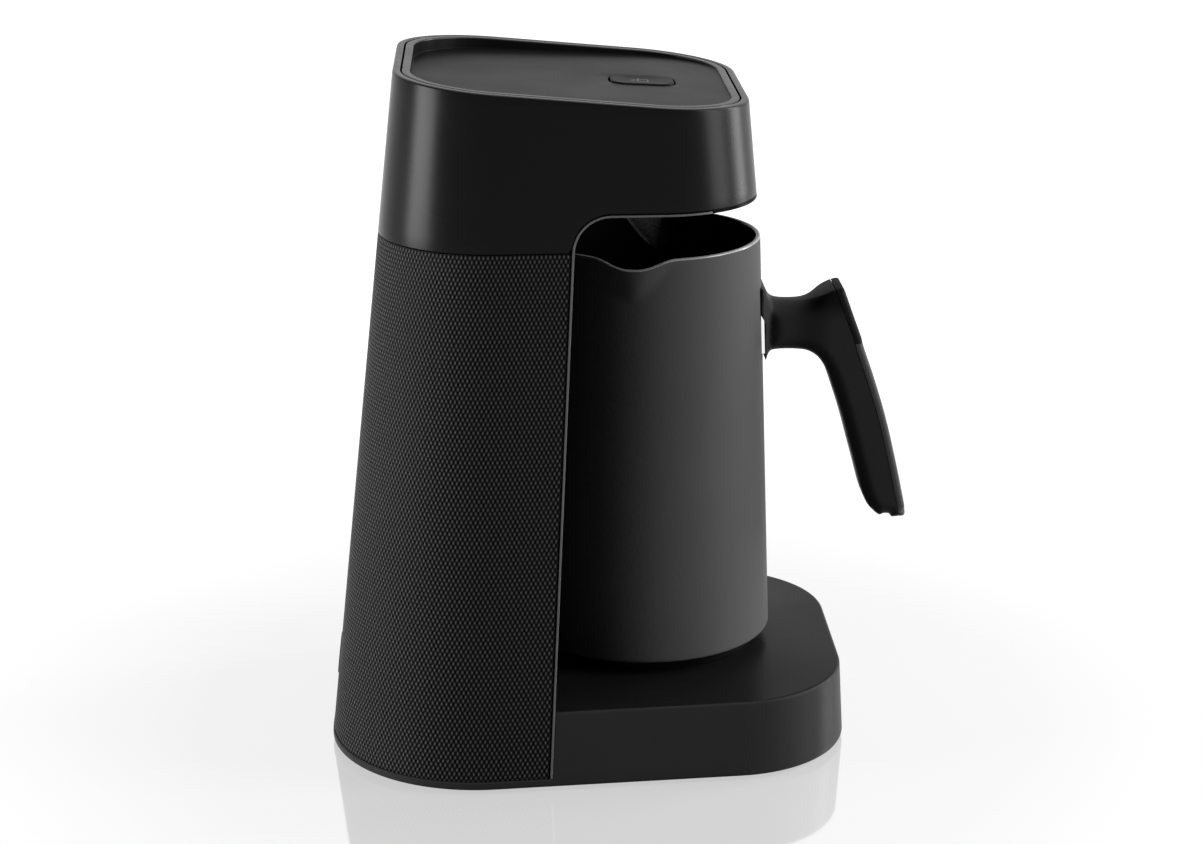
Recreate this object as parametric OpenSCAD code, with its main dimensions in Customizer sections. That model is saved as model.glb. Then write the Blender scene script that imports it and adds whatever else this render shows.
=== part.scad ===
// Electric coffee maker for Turkish coffee, with one pull-out electric pot.
// Frame: +Z up, the front faces -Y, the width lies along X, and the machine stands on z = 0.
// Reaches are measured from the pot's axis, which stands behind the middle of the footprint.

/* [Base] */
// Width of the base at its rear corners
base_rear_w = 148.3; // [146:0.1:156]
// Width of the base at its front corners
base_front_w = 134; // [128:0.5:142]
// Reach of the base behind the pot's axis
base_rear_reach = 112.5; // [110:0.5:120]
// Reach of the base in front of the pot's axis
base_front_reach = 70; // [66:0.5:84]
// Radius of the base's rear corners
base_rear_r = 53; // [50:0.5:58]
// Radius of the base's front corners
base_front_r = 43.5; // [36:0.5:48]
// Height of the base's top edge over its underside
base_h = 27; // [25:0.5:32]
// How far the base's side leans in up to its top edge
base_draft = 1.5; // [0.5:0.1:3]
// Rounding of the base's top edge
base_edge = 1.2; // [0.6:0.1:2]
// Rise of the base's top from its edge to the pot
base_crown = 2; // [1:0.1:3]
// Wall of the base
base_wall = 2.5; // [2:0.1:3.5]
// Plain band of the base under the tower
band_h = 3; // [2:0.1:5]
// Height of the base's upstand inside the tower
upstand_h = 9.5; // [6:0.5:12]
// Wall of the base's upstand
upstand_wall = 2; // [1.5:0.1:3]
// Thickness of the bottom cover
cover_t = 2.8; // [2.4:0.1:3.5]
// Height of the feet under the base
foot_h = 1.5; // [1:0.1:3]
// Diameter of a foot
foot_d = 14; // [10:0.5:16]
// Depth of a foot's seat in the bottom cover
foot_seat = 1; // [0.5:0.1:1.4]

/* [Tower and head] */
// Height of the sloping top over the base's underside, at the pot's axis
tower_h = 231.5; // [225:0.5:240]
// Slope of the top, down to the front, in degrees
top_tilt = 5; // [3:0.1:7]
// Width of the top
top_w = 120.6; // [116:0.1:126]
// Corner radius of the top
top_r = 34.4; // [30:0.1:38]
// Reach of the top behind the pot's axis
top_rear_reach = 85.4; // [82:0.1:90]
// Reach of the top in front of the pot's axis
top_front_reach = 32.7; // [28:0.1:36]
// Lean of the head's front, in degrees
front_lean = 5.3; // [4:0.1:7]
// Height of the head's underside over the base's underside
ceiling_h = 196; // [192:0.5:202]
// Height of the knit panel's top edge over the base's underside
wrap_top_h = 184.3; // [176:0.1:186]
// Wall of the knit panel
wrap_wall = 2.2; // [1.8:0.1:3]
// Wall of the upper shell, seen as a strip round the top
shell_wall = 2.6; // [2:0.1:3.2]
// Wall of the niche liner, seen as a thin line along the panel's front edge
liner_wall = 1.2; // [1:0.1:2]
// Radius of the niche round the pot's axis
niche_r = 49; // [48.5:0.1:51]
// Place of the panel's front edge behind the pot's axis, at the base's underside
edge_low = 35.5; // [33:0.1:38]
// Place of the panel's front edge behind the pot's axis, at the head's underside
edge_high = 26.2; // [24:0.1:30]
// Radius of the niche's upper corner
niche_corner_r = 12; // [9:0.1:14]

/* [Top panel and button] */
// Width of the raised frame of the top panel
frame_w = 2.8; // [2:0.1:4]
// Depth of the panel below its frame
panel_drop = 1.8; // [1:0.1:3]
// Thickness of the panel
panel_t = 2.2; // [1.8:0.1:3]
// Length of the start button, front to rear
button_l = 21.8; // [18:0.1:24]
// Width of the start button
button_w = 16.4; // [14:0.1:18]
// Corner radius of the start button
button_r = 5.6; // [4:0.1:7]
// Place of the button's middle behind the pot's axis
button_y = 1.2; // [-1:0.1:4]
// Height of the button over the panel
button_proud = 0.5; // [0.2:0.1:1]
// Travel of the start button
button_travel = 0.8; // [0.5:0.1:1.2]
// Radius of the button's stem
stem_r = 2.5; // [2:0.1:3]

/* [Pot] */
// Outer radius of the pot at its rim
pot_rim_r = 40; // [38:0.1:42]
// Outer radius of the pot at its foot
pot_base_r = 45.2; // [43:0.1:45.5]
// Height of the pot
pot_h = 144.5; // [138:0.5:147]
// Wall of the pot
pot_wall = 1.5; // [1.2:0.1:2]
// Height of the pot's floor over the lower edge of its skirt
pot_floor_h = 22.5; // [21:0.5:30]
// Gap between the base's top and the skirt, which the foot ring bridges
pot_stand = 3; // [2:0.1:4]
// Rounding of the skirt's lower edge
skirt_edge = 2; // [1:0.1:3]
// Reach of a spout's tip from the pot's axis
spout_reach = 50.5; // [47:0.5:53]
// Half width of a spout, in degrees round the pot
spout_half = 18; // [13:0.5:21]
// Turn of the pair of spouts from square to the handle, in degrees
spout_turn = 9; // [-12:1:12]
// Depth of a spout below the rim
spout_depth = 22; // [16:0.5:26]
// How far a spout's tip lies below the rim
spout_dip = 1; // [0.5:0.1:2]

/* [Handle] */
// Width of the grip
grip_w = 18; // [15:0.5:20]
// Reach of the grip's lower end from the pot's axis
grip_reach = 93.9; // [90:0.1:98]
// Height of the neck's middle over the pot's skirt
neck_h = 113; // [108:0.5:116]
// Height of the neck
neck_t = 18; // [14:0.5:20]
// Width of the neck
neck_w = 15; // [12:0.5:17]
// Thickness of the outer cover and of the thumb pad
cover_skin = 3; // [2.2:0.1:3.6]

/* [Connector] */
// Height of the connector's middle over the base's underside
plug_h = 43.5; // [42.5:0.1:45]
// Width of the pot's connector block
plug_w = 23; // [21:0.5:24]
// Height of the pot's connector block
plug_t = 8; // [7:0.1:9]
// Reach of the connector block behind the pot's axis
plug_reach = 55.5; // [54:0.1:56]
// Spacing of the contacts
contact_pitch = 8; // [7:0.1:8.4]
// Radius of a contact pin
pin_r = 1.5; // [1.2:0.1:1.7]
// Radial clearance of a pin in its sleeve
pin_clear = 0.1; // [0.05:0.01:0.1]
// Clearance of the block in the socket's mouth
mouth_clear = 1.5; // [1:0.1:1.8]

/* [Hidden] */

$fn = 64;
// Sides of the circles inside a hull
hull_fn = 44;
// Thickness of a hull's outline, and overlap of cutting tools
eps = 0.02;
cut = 1;
// Length of cutting tools that run past the whole machine
far = 400;
// Gap between fixed pieces, between moving pieces, and between a screw and its hole
seam = 0.2;
play = 0.3;
screw_clear = 0.1;

// Levels over the surface that the machine stands on
underside_z = foot_h;
band_z = underside_z + band_h;
upstand_z = band_z + upstand_h;
plate_z = underside_z + base_h;
crown_z = plate_z + base_crown;
ceiling_z = underside_z + ceiling_h;
wrap_top_z = underside_z + wrap_top_h;
top_z = underside_z + tower_h;
skirt_z = crown_z + pot_stand;
rim_z = skirt_z + pot_h;
floor_z = skirt_z + pot_floor_h;
plug_z = underside_z + plug_h;
neck_z = skirt_z + neck_h;

// The pot's axis, set so that the footprint with the handle is centred on y = 0
pot_y = (grip_reach - base_rear_reach) / 2;

// Head's front at the level of the base's underside, and its width there
low_front_reach = top_front_reach + tower_h * tan(front_lean);
base_length = base_rear_reach + base_front_reach;
low_front_share = (base_front_reach - low_front_reach) / base_length;
low_front_w = base_front_w + (base_rear_w - base_front_w) * low_front_share;

// Inner outline of the base's lower ring, which the bottom cover fills
ring_inset = wrap_wall + seam + upstand_wall;
cover_inset = ring_inset + seam;
cover_z = band_z - cover_t;
base_top_t = 2.8;

// Lean of the panel's front edge
edge_lean = atan((edge_low - edge_high) / ceiling_h);

// Top panel, in the sloping frame
panel_inset = shell_wall + 0.5;
skirt_wall = 1.5;
skirt_drop = 6;
ledge_w = 2.4;
ledge_t = 1.8;
panel_under = -panel_drop - panel_t;

// Button stack, in the sloping frame
button_gap = 0.35;
button_top = -panel_drop + button_proud;
cap_t = 3;
flange_t = 1.2;
flange_w = 1.2;
flange_top = min(button_top - cap_t, panel_under - play);
flange_under = flange_top - flange_t;
spring_h = 3.4;
guide_floor = flange_under - spring_h;
guide_floor_t = 1.4;
guide_wall = 1.6;
guide_gap = 0.4;
stem_clear = 0.08;
stem_over = 0.8;
stem_end = guide_floor - guide_floor_t - stem_over;
icon_t = 0.4;

// Switch and control board, in the sloping frame
contact_gap = 0.05;
plunger_r = 1.7;
plunger_h = 2.4;
plunger_proud = button_travel + 0.4;
switch_w = 6.2;
switch_t = 3.4;
switch_top = stem_end - contact_gap - plunger_proud;
board_top = switch_top - switch_t;
board_t = 1.6;
board_under = board_top - board_t;
board_w = 68;
board_front = -20;
board_rear = 40;
post_r = 3.2;
post_x = 28;
post_ys = [-14, 33];
screw_r = 1.4;
screw_head_r = 2.8;
screw_head_t = 1.6;

// Foot and screw places in the base
foot_front_inset = 21;
foot_rear_inset = 26;
foot_end_inset = 28;
foot_front_x = base_front_w / 2 - foot_front_inset;
foot_rear_x = base_rear_w / 2 - foot_rear_inset;
foot_front_y = foot_end_inset - base_front_reach;
foot_rear_y = base_rear_reach - foot_end_inset;
cover_screw_side = 29;
cover_screw_end = 40;
cover_screw_x = base_front_w / 2 - cover_screw_side;
cover_screw_y = cover_screw_end - base_front_reach;
post_outer_r = 4;
screw_bite = 10;

// Chassis and power board in the tower
chassis_y = 62;
chassis_t = 2.5;
chassis_rim = 4;
chassis_rib_t = 2.5;
chassis_foot_l = 26;
chassis_screw_x = 22;
chassis_screw_y = chassis_y + chassis_foot_l - 8;
chassis_boss_zs = [90, 150];
standoff_l = 4;
standoff_inset = 6;
power_y = chassis_y + chassis_t + standoff_l;
power_w = 76;
power_low_z = 62;
power_high_z = 158;
power_rear_y = power_y + board_t;
chassis_w = power_w + 2 * chassis_rim;
chassis_over = 18;
chassis_top_z = power_high_z + chassis_over;

// Socket and plug, along Y behind the pot's axis
mouth_w = plug_w + 2 * mouth_clear;
mouth_t = plug_t + 2 * mouth_clear;
socket_wall = 2.6;
socket_front_y = niche_r + liner_wall + play;
mouth_end_y = plug_reach + 2;
pin_bite = 9;
pin_tip_y = plug_reach - pin_bite;
pin_end_y = chassis_y + chassis_t + 2;
sleeve_wall = 0.6;
sleeve_r = pin_r + pin_clear + sleeve_wall;
sleeve_l = 12;
plug_inner_y = 33;
contact_xs = [-contact_pitch, 0, contact_pitch];

// Cord gland at the rear
gland_z = 23;
gland_r = 5.8;
gland_bore_r = 3.2;
gland_flange_r = 7.4;
gland_flange_t = 0.5;
gland_l = 9;
rear_lean = atan((base_rear_reach - top_rear_reach) / (tower_h + top_rear_reach * tan(top_tilt)));
gland_y = base_rear_reach - (gland_z - underside_z) * tan(rear_lean);

// Pot underside
heat_plate_t = 3.5;
heat_plate_r = 36;
pot_floor_t = 1.5;
heat_top_z = floor_z - pot_floor_t;
heat_under_z = heat_top_z - heat_plate_t;
element_r = 27;
element_tube_r = 3.2;
element_open = 22;
cap_plate_t = 2.5;
cap_lift = 0.4;
cap_z = skirt_z + cap_lift;
foot_gap = 0.2;
foot_ring_r = 40;
foot_ring_w = 3.5;
cap_post_r = 3;
cap_post_ring = 16;

// Pot's outer wall is a cone: its radius at a level
skirt_top_z = skirt_z + skirt_edge;
function pot_r(z) = pot_base_r + (pot_rim_r - pot_base_r) * (z - skirt_top_z) / (rim_z - skirt_top_z);

// Handle, in the plane x = 0: the grip's line from the thumb to its lower end
grip_low_r = 6.3;
grip_mid_r = 7.5;
grip_low_y = -(grip_reach - grip_low_r);
grip_drop = 66;
grip_low_z = neck_z - grip_drop;
grip_mid_in = 22.7;
grip_mid_drop = 15;
grip_mid_y = grip_mid_in - grip_reach;
grip_mid_z = neck_z - grip_mid_drop;
elbow_in = 32.4;
elbow_rise = 1.5;
elbow_y = elbow_in - grip_reach;
elbow_z = neck_z + elbow_rise;
elbow_r = 7;
thumb_in = 27.7;
thumb_rise = 13.3;
thumb_y = thumb_in - grip_reach;
thumb_z = neck_z + thumb_rise;
thumb_r = 2.3;
thumb_low_in = 24.6;
thumb_low_drop = 9.5;
thumb_low_y = thumb_low_in - grip_reach;
thumb_low_z = neck_z - thumb_low_drop;
thumb_low_r = 6.5;
grip_edge = 2;
pad_end_drop = 7.5;
pad_end_z = neck_z - pad_end_drop;
bracket_t = 1;
bracket_margin = 1.2;
stud_r = 4;
stud_l = 13;
handle_screw_r = 2;
handle_screw_head_r = 3.6;
handle_screw_head_t = 3;
handle_screw_y = elbow_y - 0.5;

module at_pot() {
  translate([0, pot_y, 0]) children();
}

// The sloping frame of the top: z = 0 is the plane of the rim
module on_top() {
  at_pot() translate([0, 0, top_z]) rotate([top_tilt, 0, 0]) children();
}

module slab(low, high) {
  translate([-far, -far, low]) cube([2 * far, 2 * far, high - low]);
}

module top_slab(low, high) {
  on_top() slab(low, high);
}

module disc_pair(w, r, y, inset, h = eps) {
  for (side = [-1, 1]) {
    translate([side * (w / 2 - r), y, 0]) cylinder(r = r - inset, h = h, $fn = hull_fn);
  }
}

// The tower and head as one full volume, drawn in by an inset, longer at both ends for cutting
module envelope(inset = 0, rise = 0, drop = 0) {
  slope_scale = 1 / cos(top_tilt);
  hull() {
    at_pot() translate([0, 0, underside_z - drop]) {
      disc_pair(base_rear_w, base_rear_r, base_rear_reach - base_rear_r, inset);
      disc_pair(low_front_w, top_r, top_r - low_front_reach, inset);
    }
    on_top() translate([0, 0, rise - eps]) {
      disc_pair(top_w, top_r, top_rear_reach * slope_scale - top_r, inset);
      disc_pair(top_w, top_r, top_r - top_front_reach * slope_scale, inset);
    }
  }
}

// The base as one full volume: leaning side, rounded top edge, crown under the pot
module base_solid(inset = 0, lower = 0) {
  rear_y = base_rear_reach - base_rear_r;
  front_y = base_front_r - base_front_reach;
  hull() {
    at_pot() translate([0, 0, -lower]) {
      translate([0, 0, underside_z]) {
        disc_pair(base_rear_w, base_rear_r, rear_y, inset);
        disc_pair(base_front_w, base_front_r, front_y, inset);
      }
      translate([0, 0, plate_z - base_edge]) {
        disc_pair(base_rear_w, base_rear_r, rear_y, inset + base_draft);
        disc_pair(base_front_w, base_front_r, front_y, inset + base_draft);
      }
      translate([0, 0, plate_z - eps]) {
        disc_pair(base_rear_w, base_rear_r, rear_y, inset + base_draft + base_edge);
        disc_pair(base_front_w, base_front_r, front_y, inset + base_draft + base_edge);
      }
      translate([0, 0, crown_z - eps]) cylinder(r = foot_ring_r, h = eps, $fn = hull_fn);
    }
  }
}

// Side profile of the bay in front of the tower and under the head, grown by a wall
module bay_profile(grow) {
  edge_y = edge_low + grow / cos(edge_lean);
  roof_z = ceiling_h + grow;
  r = niche_corner_r + grow;
  center_z = roof_z - r;
  center_y = edge_y - (center_z * sin(edge_lean) + r) / cos(edge_lean);
  low_z = -far / 4;
  low_y = edge_y - low_z * tan(edge_lean);
  polygon([
    [-far, low_z],
    [low_y, low_z],
    [center_y + r * cos(edge_lean), center_z + r * sin(edge_lean)],
    [center_y, center_z],
    [center_y, roof_z],
    [-far, roof_z]
  ]);
  translate([center_y, center_z]) circle(r = r);
}

// The space that the pot stands in, from the base up to the head
module bay_void(grow = 0) {
  at_pot() translate([0, 0, underside_z]) {
    translate([-far, 0, 0]) rotate([90, 0, 90]) linear_extrude(2 * far) bay_profile(grow);
    translate([0, 0, -far / 4]) cylinder(r = niche_r + grow, h = ceiling_h + grow + far / 4);
  }
}

module rounded_plate(w, front_y, rear_y, r, low, high) {
  translate([0, 0, low]) linear_extrude(high - low) {
    translate([-w / 2, front_y + r]) square([w, rear_y - front_y - 2 * r]);
    translate([r - w / 2, front_y]) square([w - 2 * r, rear_y - front_y]);
    for (x = [-w / 2 + r, w / 2 - r], y = [front_y + r, rear_y - r]) {
      translate([x, y]) circle(r = r);
    }
  }
}

// The outline of the top, drawn in by an inset, between two levels of the sloping frame
module top_outline(inset, low, high) {
  slope_scale = 1 / cos(top_tilt);
  rounded_plate(top_w - 2 * inset, inset - top_front_reach * slope_scale,
                top_rear_reach * slope_scale - inset, top_r - inset, low, high);
}

module button_outline(grow, low, high) {
  translate([0, button_y, 0])
    rounded_plate(button_w + 2 * grow, -button_l / 2 - grow, button_l / 2 + grow,
                  button_r + grow, low, high);
}

function foot_place(i) =
  i < 2 ? [(i == 0 ? -1 : 1) * foot_front_x, foot_front_y] : [(i == 2 ? -1 : 1) * foot_rear_x, foot_rear_y];

// ---- Base ----

module cover_posts(r, low, high) {
  for (side = [-1, 1]) {
    translate([side * cover_screw_x, cover_screw_y, low]) cylinder(r = r, h = high - low);
  }
}

module chassis_posts(r, low, high) {
  for (side = [-1, 1]) {
    translate([side * chassis_screw_x, chassis_screw_y, low]) cylinder(r = r, h = high - low);
  }
}

module base_shell() {
  color([0.09, 0.09, 0.095]) {
    difference() {
      base_solid();
      // Behind the bay only the band and the upstand stay
      difference() {
        slab(band_z, far);
        bay_void();
        difference() {
          intersection() {
            envelope(wrap_wall + seam);
            slab(-far, upstand_z);
          }
          bay_void(liner_wall + seam);
        }
      }
      base_solid(ring_inset, base_top_t);
      intersection() {
        base_solid(base_wall, base_top_t);
        slab(band_z, far);
        bay_void(seam);
      }
    }
    difference() {
      intersection() {
        base_solid(base_edge);
        at_pot() cover_posts(post_outer_r, band_z, far);
      }
      at_pot() cover_posts(screw_r + screw_clear, band_z - cut, band_z + screw_bite + cut);
    }
  }
}

module bottom_cover() {
  vent_w = 2.4;
  vent_l = 30;
  vent_pitch = 6;
  vent_ys = [-1, 0, 1, 2, 3];
  color([0.12, 0.12, 0.12]) difference() {
    at_pot() translate([0, 0, cover_z]) linear_extrude(cover_t) hull() {
      for (side = [-1, 1]) {
        translate([side * (base_rear_w / 2 - base_rear_r), base_rear_reach - base_rear_r])
          circle(r = base_rear_r - cover_inset - base_draft, $fn = hull_fn);
        translate([side * (base_front_w / 2 - base_front_r), base_front_r - base_front_reach])
          circle(r = base_front_r - cover_inset - base_draft, $fn = hull_fn);
      }
    }
    at_pot() {
      cover_posts(screw_r + screw_clear, -cut, band_z + cut);
      cover_posts(screw_head_r + seam, -cut, cover_z + screw_head_t);
      chassis_posts(screw_r + screw_clear, -cut, band_z + cut);
      chassis_posts(screw_head_r + seam, -cut, cover_z + screw_head_t);
      for (i = [0:3]) {
        translate(concat(foot_place(i), [cover_z - cut])) cylinder(d = foot_d + seam, h = foot_seat + cut);
      }
      for (i = vent_ys) {
        translate([-vent_l / 2, i * vent_pitch, -cut]) cube([vent_l, vent_w, band_z + 2 * cut]);
      }
    }
  }
}

module rubber_foot(i) {
  foot_edge = 1;
  color([0.05, 0.05, 0.05]) at_pot() translate(foot_place(i)) {
    cylinder(r1 = foot_d / 2 - foot_edge, r2 = foot_d / 2, h = foot_edge);
    translate([0, 0, foot_edge]) cylinder(d = foot_d, h = cover_z + foot_seat - foot_edge);
  }
}

module bottom_screws() {
  front_tip = band_z + screw_bite;
  rear_tip = band_z + chassis_t + post_outer_r;
  color([0.6, 0.6, 0.62]) at_pot() {
    cover_posts(screw_head_r, cover_z + eps, cover_z + screw_head_t);
    cover_posts(screw_r, cover_z + screw_head_t - eps, front_tip);
    chassis_posts(screw_head_r, cover_z + eps, cover_z + screw_head_t);
    chassis_posts(screw_r, cover_z + screw_head_t - eps, rear_tip);
  }
}

// ---- Tower ----

// On the outer face of the leaning rear wall: local z points straight out of the wall
module at_gland() {
  at_pot() translate([0, gland_y, gland_z]) rotate([rear_lean - 90, 0, 0]) children();
}

module gland_hole() {
  at_gland() translate([0, 0, -2 * gland_l]) cylinder(r = gland_r + seam, h = 4 * gland_l);
}

module niche_liner() {
  color([0.08, 0.08, 0.085]) difference() {
    intersection() {
      envelope();
      bay_void(liner_wall);
      slab(band_z, far);
    }
    bay_void();
    // Window of the socket, and hole of the sensor's lens
    at_pot() translate([-mouth_w / 2, 0, plug_z - mouth_t / 2]) cube([mouth_w, far, mouth_t]);
    at_pot() translate([0, 0, ceiling_z - cut]) cylinder(r = lens_r + seam, h = liner_wall + 2 * cut);
  }
}

module knit_panel() {
  color([0.1, 0.1, 0.105]) difference() {
    intersection() {
      envelope();
      slab(band_z, wrap_top_z);
    }
    envelope(wrap_wall, cut, cut);
    bay_void(liner_wall);
    gland_hole();
  }
}

module upper_shell() {
  ledge_top = panel_under - skirt_drop;
  color([0.07, 0.07, 0.075]) difference() {
    intersection() {
      envelope();
      slab(wrap_top_z, far);
    }
    bay_void(liner_wall);
    difference() {
      envelope(shell_wall, cut, cut);
      // Ledge under the panel's skirt
      difference() {
        top_slab(ledge_top - ledge_t, ledge_top);
        envelope(shell_wall + ledge_w, cut, cut);
      }
    }
  }
}

module chassis() {
  color([0.16, 0.16, 0.17]) at_pot() difference() {
    union() {
      translate([-chassis_w / 2, chassis_y, band_z]) cube([chassis_w, chassis_t, chassis_top_z - band_z]);
      translate([-chassis_w / 2, chassis_y, band_z]) cube([chassis_w, chassis_foot_l, chassis_t]);
      for (side = [-1, 1]) {
        translate([side * (chassis_w - chassis_rib_t) / 2 - chassis_rib_t / 2, chassis_y, band_z])
          cube([chassis_rib_t, chassis_foot_l / 2, chassis_top_z - band_z]);
      }
      chassis_posts(post_outer_r, band_z, band_z + chassis_t + post_outer_r);
      for (z = chassis_boss_zs) {
        translate([0, niche_r + liner_wall, z]) rotate([-90, 0, 0])
          cylinder(r = post_outer_r, h = chassis_y - niche_r - liner_wall + cut);
      }
      for (x = [-1, 1] * (power_w / 2 - standoff_inset),
           z = [power_low_z + standoff_inset, power_high_z - standoff_inset]) {
        translate([x, chassis_y + chassis_t - cut, z]) rotate([-90, 0, 0])
          cylinder(r = post_r, h = standoff_l + cut);
      }
    }
    chassis_posts(screw_r + screw_clear, band_z - cut, band_z + chassis_t + 2 * post_outer_r);
    for (x = contact_xs) {
      translate([x, chassis_y - cut, plug_z]) rotate([-90, 0, 0])
        cylinder(r = pin_r + screw_clear, h = chassis_t + 2 * cut);
    }
  }
}

module power_board() {
  color([0.1, 0.3, 0.16]) at_pot()
    translate([-power_w / 2, power_y, power_low_z]) cube([power_w, board_t, power_high_z - power_low_z]);
}

module transformer() {
  core_w = 30;
  core_h = 25;
  core_l = 15;
  bobbin_w = 20;
  bobbin_l = 20;
  bobbin_over = 3;
  rise = 50;
  color([0.3, 0.3, 0.32]) at_pot() translate([0, power_rear_y, power_low_z + rise]) {
    translate([-core_w / 2, 0, 0]) cube([core_w, core_l, core_h]);
    translate([-bobbin_w / 2, 0, -bobbin_over]) cube([bobbin_w, bobbin_l, core_h + 2 * bobbin_over]);
  }
}

module relay() {
  relay_w = 19;
  relay_l = 15;
  relay_h = 16;
  inset = 5;
  rise = 22;
  color([0.1, 0.1, 0.35]) at_pot()
    translate([inset - power_w / 2, power_rear_y, power_low_z + rise]) cube([relay_w, relay_l, relay_h]);
}

module filter_capacitor() {
  can_r = 6;
  can_l = 18;
  inset = 16;
  rise = 30;
  color([0.12, 0.12, 0.3]) at_pot()
    translate([power_w / 2 - inset, power_rear_y, power_low_z + rise]) rotate([-90, 0, 0])
      cylinder(r = can_r, h = can_l);
}

module terminal_block() {
  block_w = 30;
  block_l = 10;
  color([0.1, 0.35, 0.2]) at_pot()
    translate([-block_w / 2, power_rear_y, power_low_z]) cube([block_w, block_l, block_l]);
}

ribbon_w = 12;
ribbon_t = 0.8;
header_w = 16;
header_l = 6;
header_t = 4;
header_low_h = 8;
header_y = 30;
ribbon_y = power_rear_y + header_l / 2;

module board_header() {
  color([0.85, 0.85, 0.8]) {
    on_top() translate([-header_w / 2, header_y, board_under - header_t]) cube([header_w, header_l, header_t]);
    at_pot() translate([-header_w / 2, power_rear_y, power_high_z - header_low_h])
      cube([header_w, header_l, header_low_h]);
  }
}

// A level of the sloping frame at a place behind the pot's axis
function top_level(y, level) = top_z + y * tan(top_tilt) + level / cos(top_tilt);

// The flat cable from the control board back and down to the power board
module ribbon_cable() {
  run_top = board_under - header_t;
  run_under = run_top - ribbon_t;
  start_y = header_y + header_l / 6;
  end_y = ribbon_y + ribbon_t;
  color([0.55, 0.55, 0.57]) at_pot()
    translate([-ribbon_w / 2, 0, 0]) rotate([90, 0, 90]) linear_extrude(ribbon_w) polygon([
      [start_y, top_level(start_y, run_top)],
      [end_y, top_level(end_y, run_top)],
      [end_y, power_high_z],
      [ribbon_y, power_high_z],
      [ribbon_y, top_level(ribbon_y, run_under)],
      [start_y, top_level(start_y, run_under)]
    ]);
}

module power_socket() {
  outer_w = mouth_w + 2 * socket_wall;
  outer_t = mouth_t + 2 * socket_wall;
  color([0.06, 0.06, 0.06]) at_pot() difference() {
    translate([-outer_w / 2, socket_front_y, plug_z - outer_t / 2])
      cube([outer_w, chassis_y - socket_front_y, outer_t]);
    translate([-mouth_w / 2, socket_front_y - cut, plug_z - mouth_t / 2])
      cube([mouth_w, mouth_end_y - socket_front_y + cut, mouth_t]);
    for (x = contact_xs) {
      translate([x, mouth_end_y - cut, plug_z]) rotate([-90, 0, 0])
        cylinder(r = pin_r, h = chassis_y - mouth_end_y + 2 * cut);
    }
  }
}

module socket_pins() {
  color([0.75, 0.6, 0.3]) at_pot() for (x = contact_xs) {
    translate([x, pin_tip_y, plug_z]) rotate([-90, 0, 0]) cylinder(r = pin_r, h = pin_end_y - pin_tip_y);
  }
}

module socket_leads() {
  lead_r = 1.3;
  lead_y = power_rear_y + 5;
  color([0.7, 0.12, 0.1]) at_pot() for (x = contact_xs) {
    translate([x, pin_end_y, plug_z]) rotate([-90, 0, 0]) cylinder(r = lead_r, h = lead_y - pin_end_y);
    translate([x, lead_y, plug_z]) sphere(r = lead_r);
    translate([x, lead_y, plug_z]) cylinder(r = lead_r, h = power_low_z - plug_z);
  }
}

module cord_gland() {
  color([0.05, 0.05, 0.05]) at_gland() difference() {
    union() {
      translate([0, 0, -gland_l]) cylinder(r = gland_r, h = gland_l + gland_flange_t);
      translate([0, 0, eps]) cylinder(r = gland_flange_r, h = gland_flange_t);
    }
    translate([0, 0, -gland_l - cut]) cylinder(r = gland_bore_r, h = gland_l + gland_flange_t + 2 * cut);
  }
}

// ---- Top, button and electronics in the head ----

module panel_posts(r, low, high) {
  for (x = [-post_x, post_x], y = post_ys) {
    translate([x, y, low]) cylinder(r = r, h = high - low);
  }
}

module top_panel() {
  color([0.13, 0.13, 0.135]) on_top() {
    difference() {
      top_outline(panel_inset, panel_under, 0);
      top_outline(panel_inset + frame_w, -panel_drop, cut);
      button_outline(button_gap, panel_under - cut, cut);
    }
    difference() {
      top_outline(panel_inset, panel_under - skirt_drop, panel_under);
      top_outline(panel_inset + skirt_wall, panel_under - skirt_drop - cut, panel_under + cut);
    }
    difference() {
      panel_posts(post_r, board_top, panel_under);
      panel_posts(screw_r + screw_clear, board_top - cut, panel_under - 4);
    }
  }
}

module button_guide() {
  inner = flange_w + guide_gap;
  color([0.2, 0.2, 0.2]) on_top() difference() {
    button_outline(inner + guide_wall, guide_floor - guide_floor_t, panel_under);
    button_outline(inner, guide_floor, panel_under + cut);
    translate([0, button_y, guide_floor - guide_floor_t - cut])
      cylinder(r = stem_r + stem_clear, h = guide_floor_t + 2 * cut);
  }
}

module start_button() {
  color([0.1, 0.1, 0.105]) on_top() difference() {
    union() {
      button_outline(0, flange_top, button_top);
      button_outline(flange_w, flange_under, flange_top);
      translate([0, button_y, stem_end]) cylinder(r = stem_r, h = flange_under - stem_end + eps);
    }
    icon_shape(button_top - icon_t, button_top + cut);
  }
}

// A plain cup with a handle, let into the button
module icon_shape(low, high) {
  cup_w = 6;
  cup_l = 4.6;
  loop_r = 1.6;
  loop_w = 0.7;
  translate([0, button_y, low]) linear_extrude(high - low) {
    translate([-cup_w / 2, -cup_l / 2]) square([cup_w, cup_l]);
    difference() {
      translate([cup_w / 2, 0]) circle(r = loop_r);
      translate([cup_w / 2, 0]) circle(r = loop_r - loop_w);
      translate([-cup_w / 2, -cup_l / 2]) square([cup_w, cup_l]);
    }
    translate([-cup_w / 2, -cup_l / 2 - 2 * loop_w]) square([cup_w, loop_w]);
  }
}

module button_icon() {
  color([0.3, 0.3, 0.3]) on_top() icon_shape(button_top - icon_t, button_top - eps);
}

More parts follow.
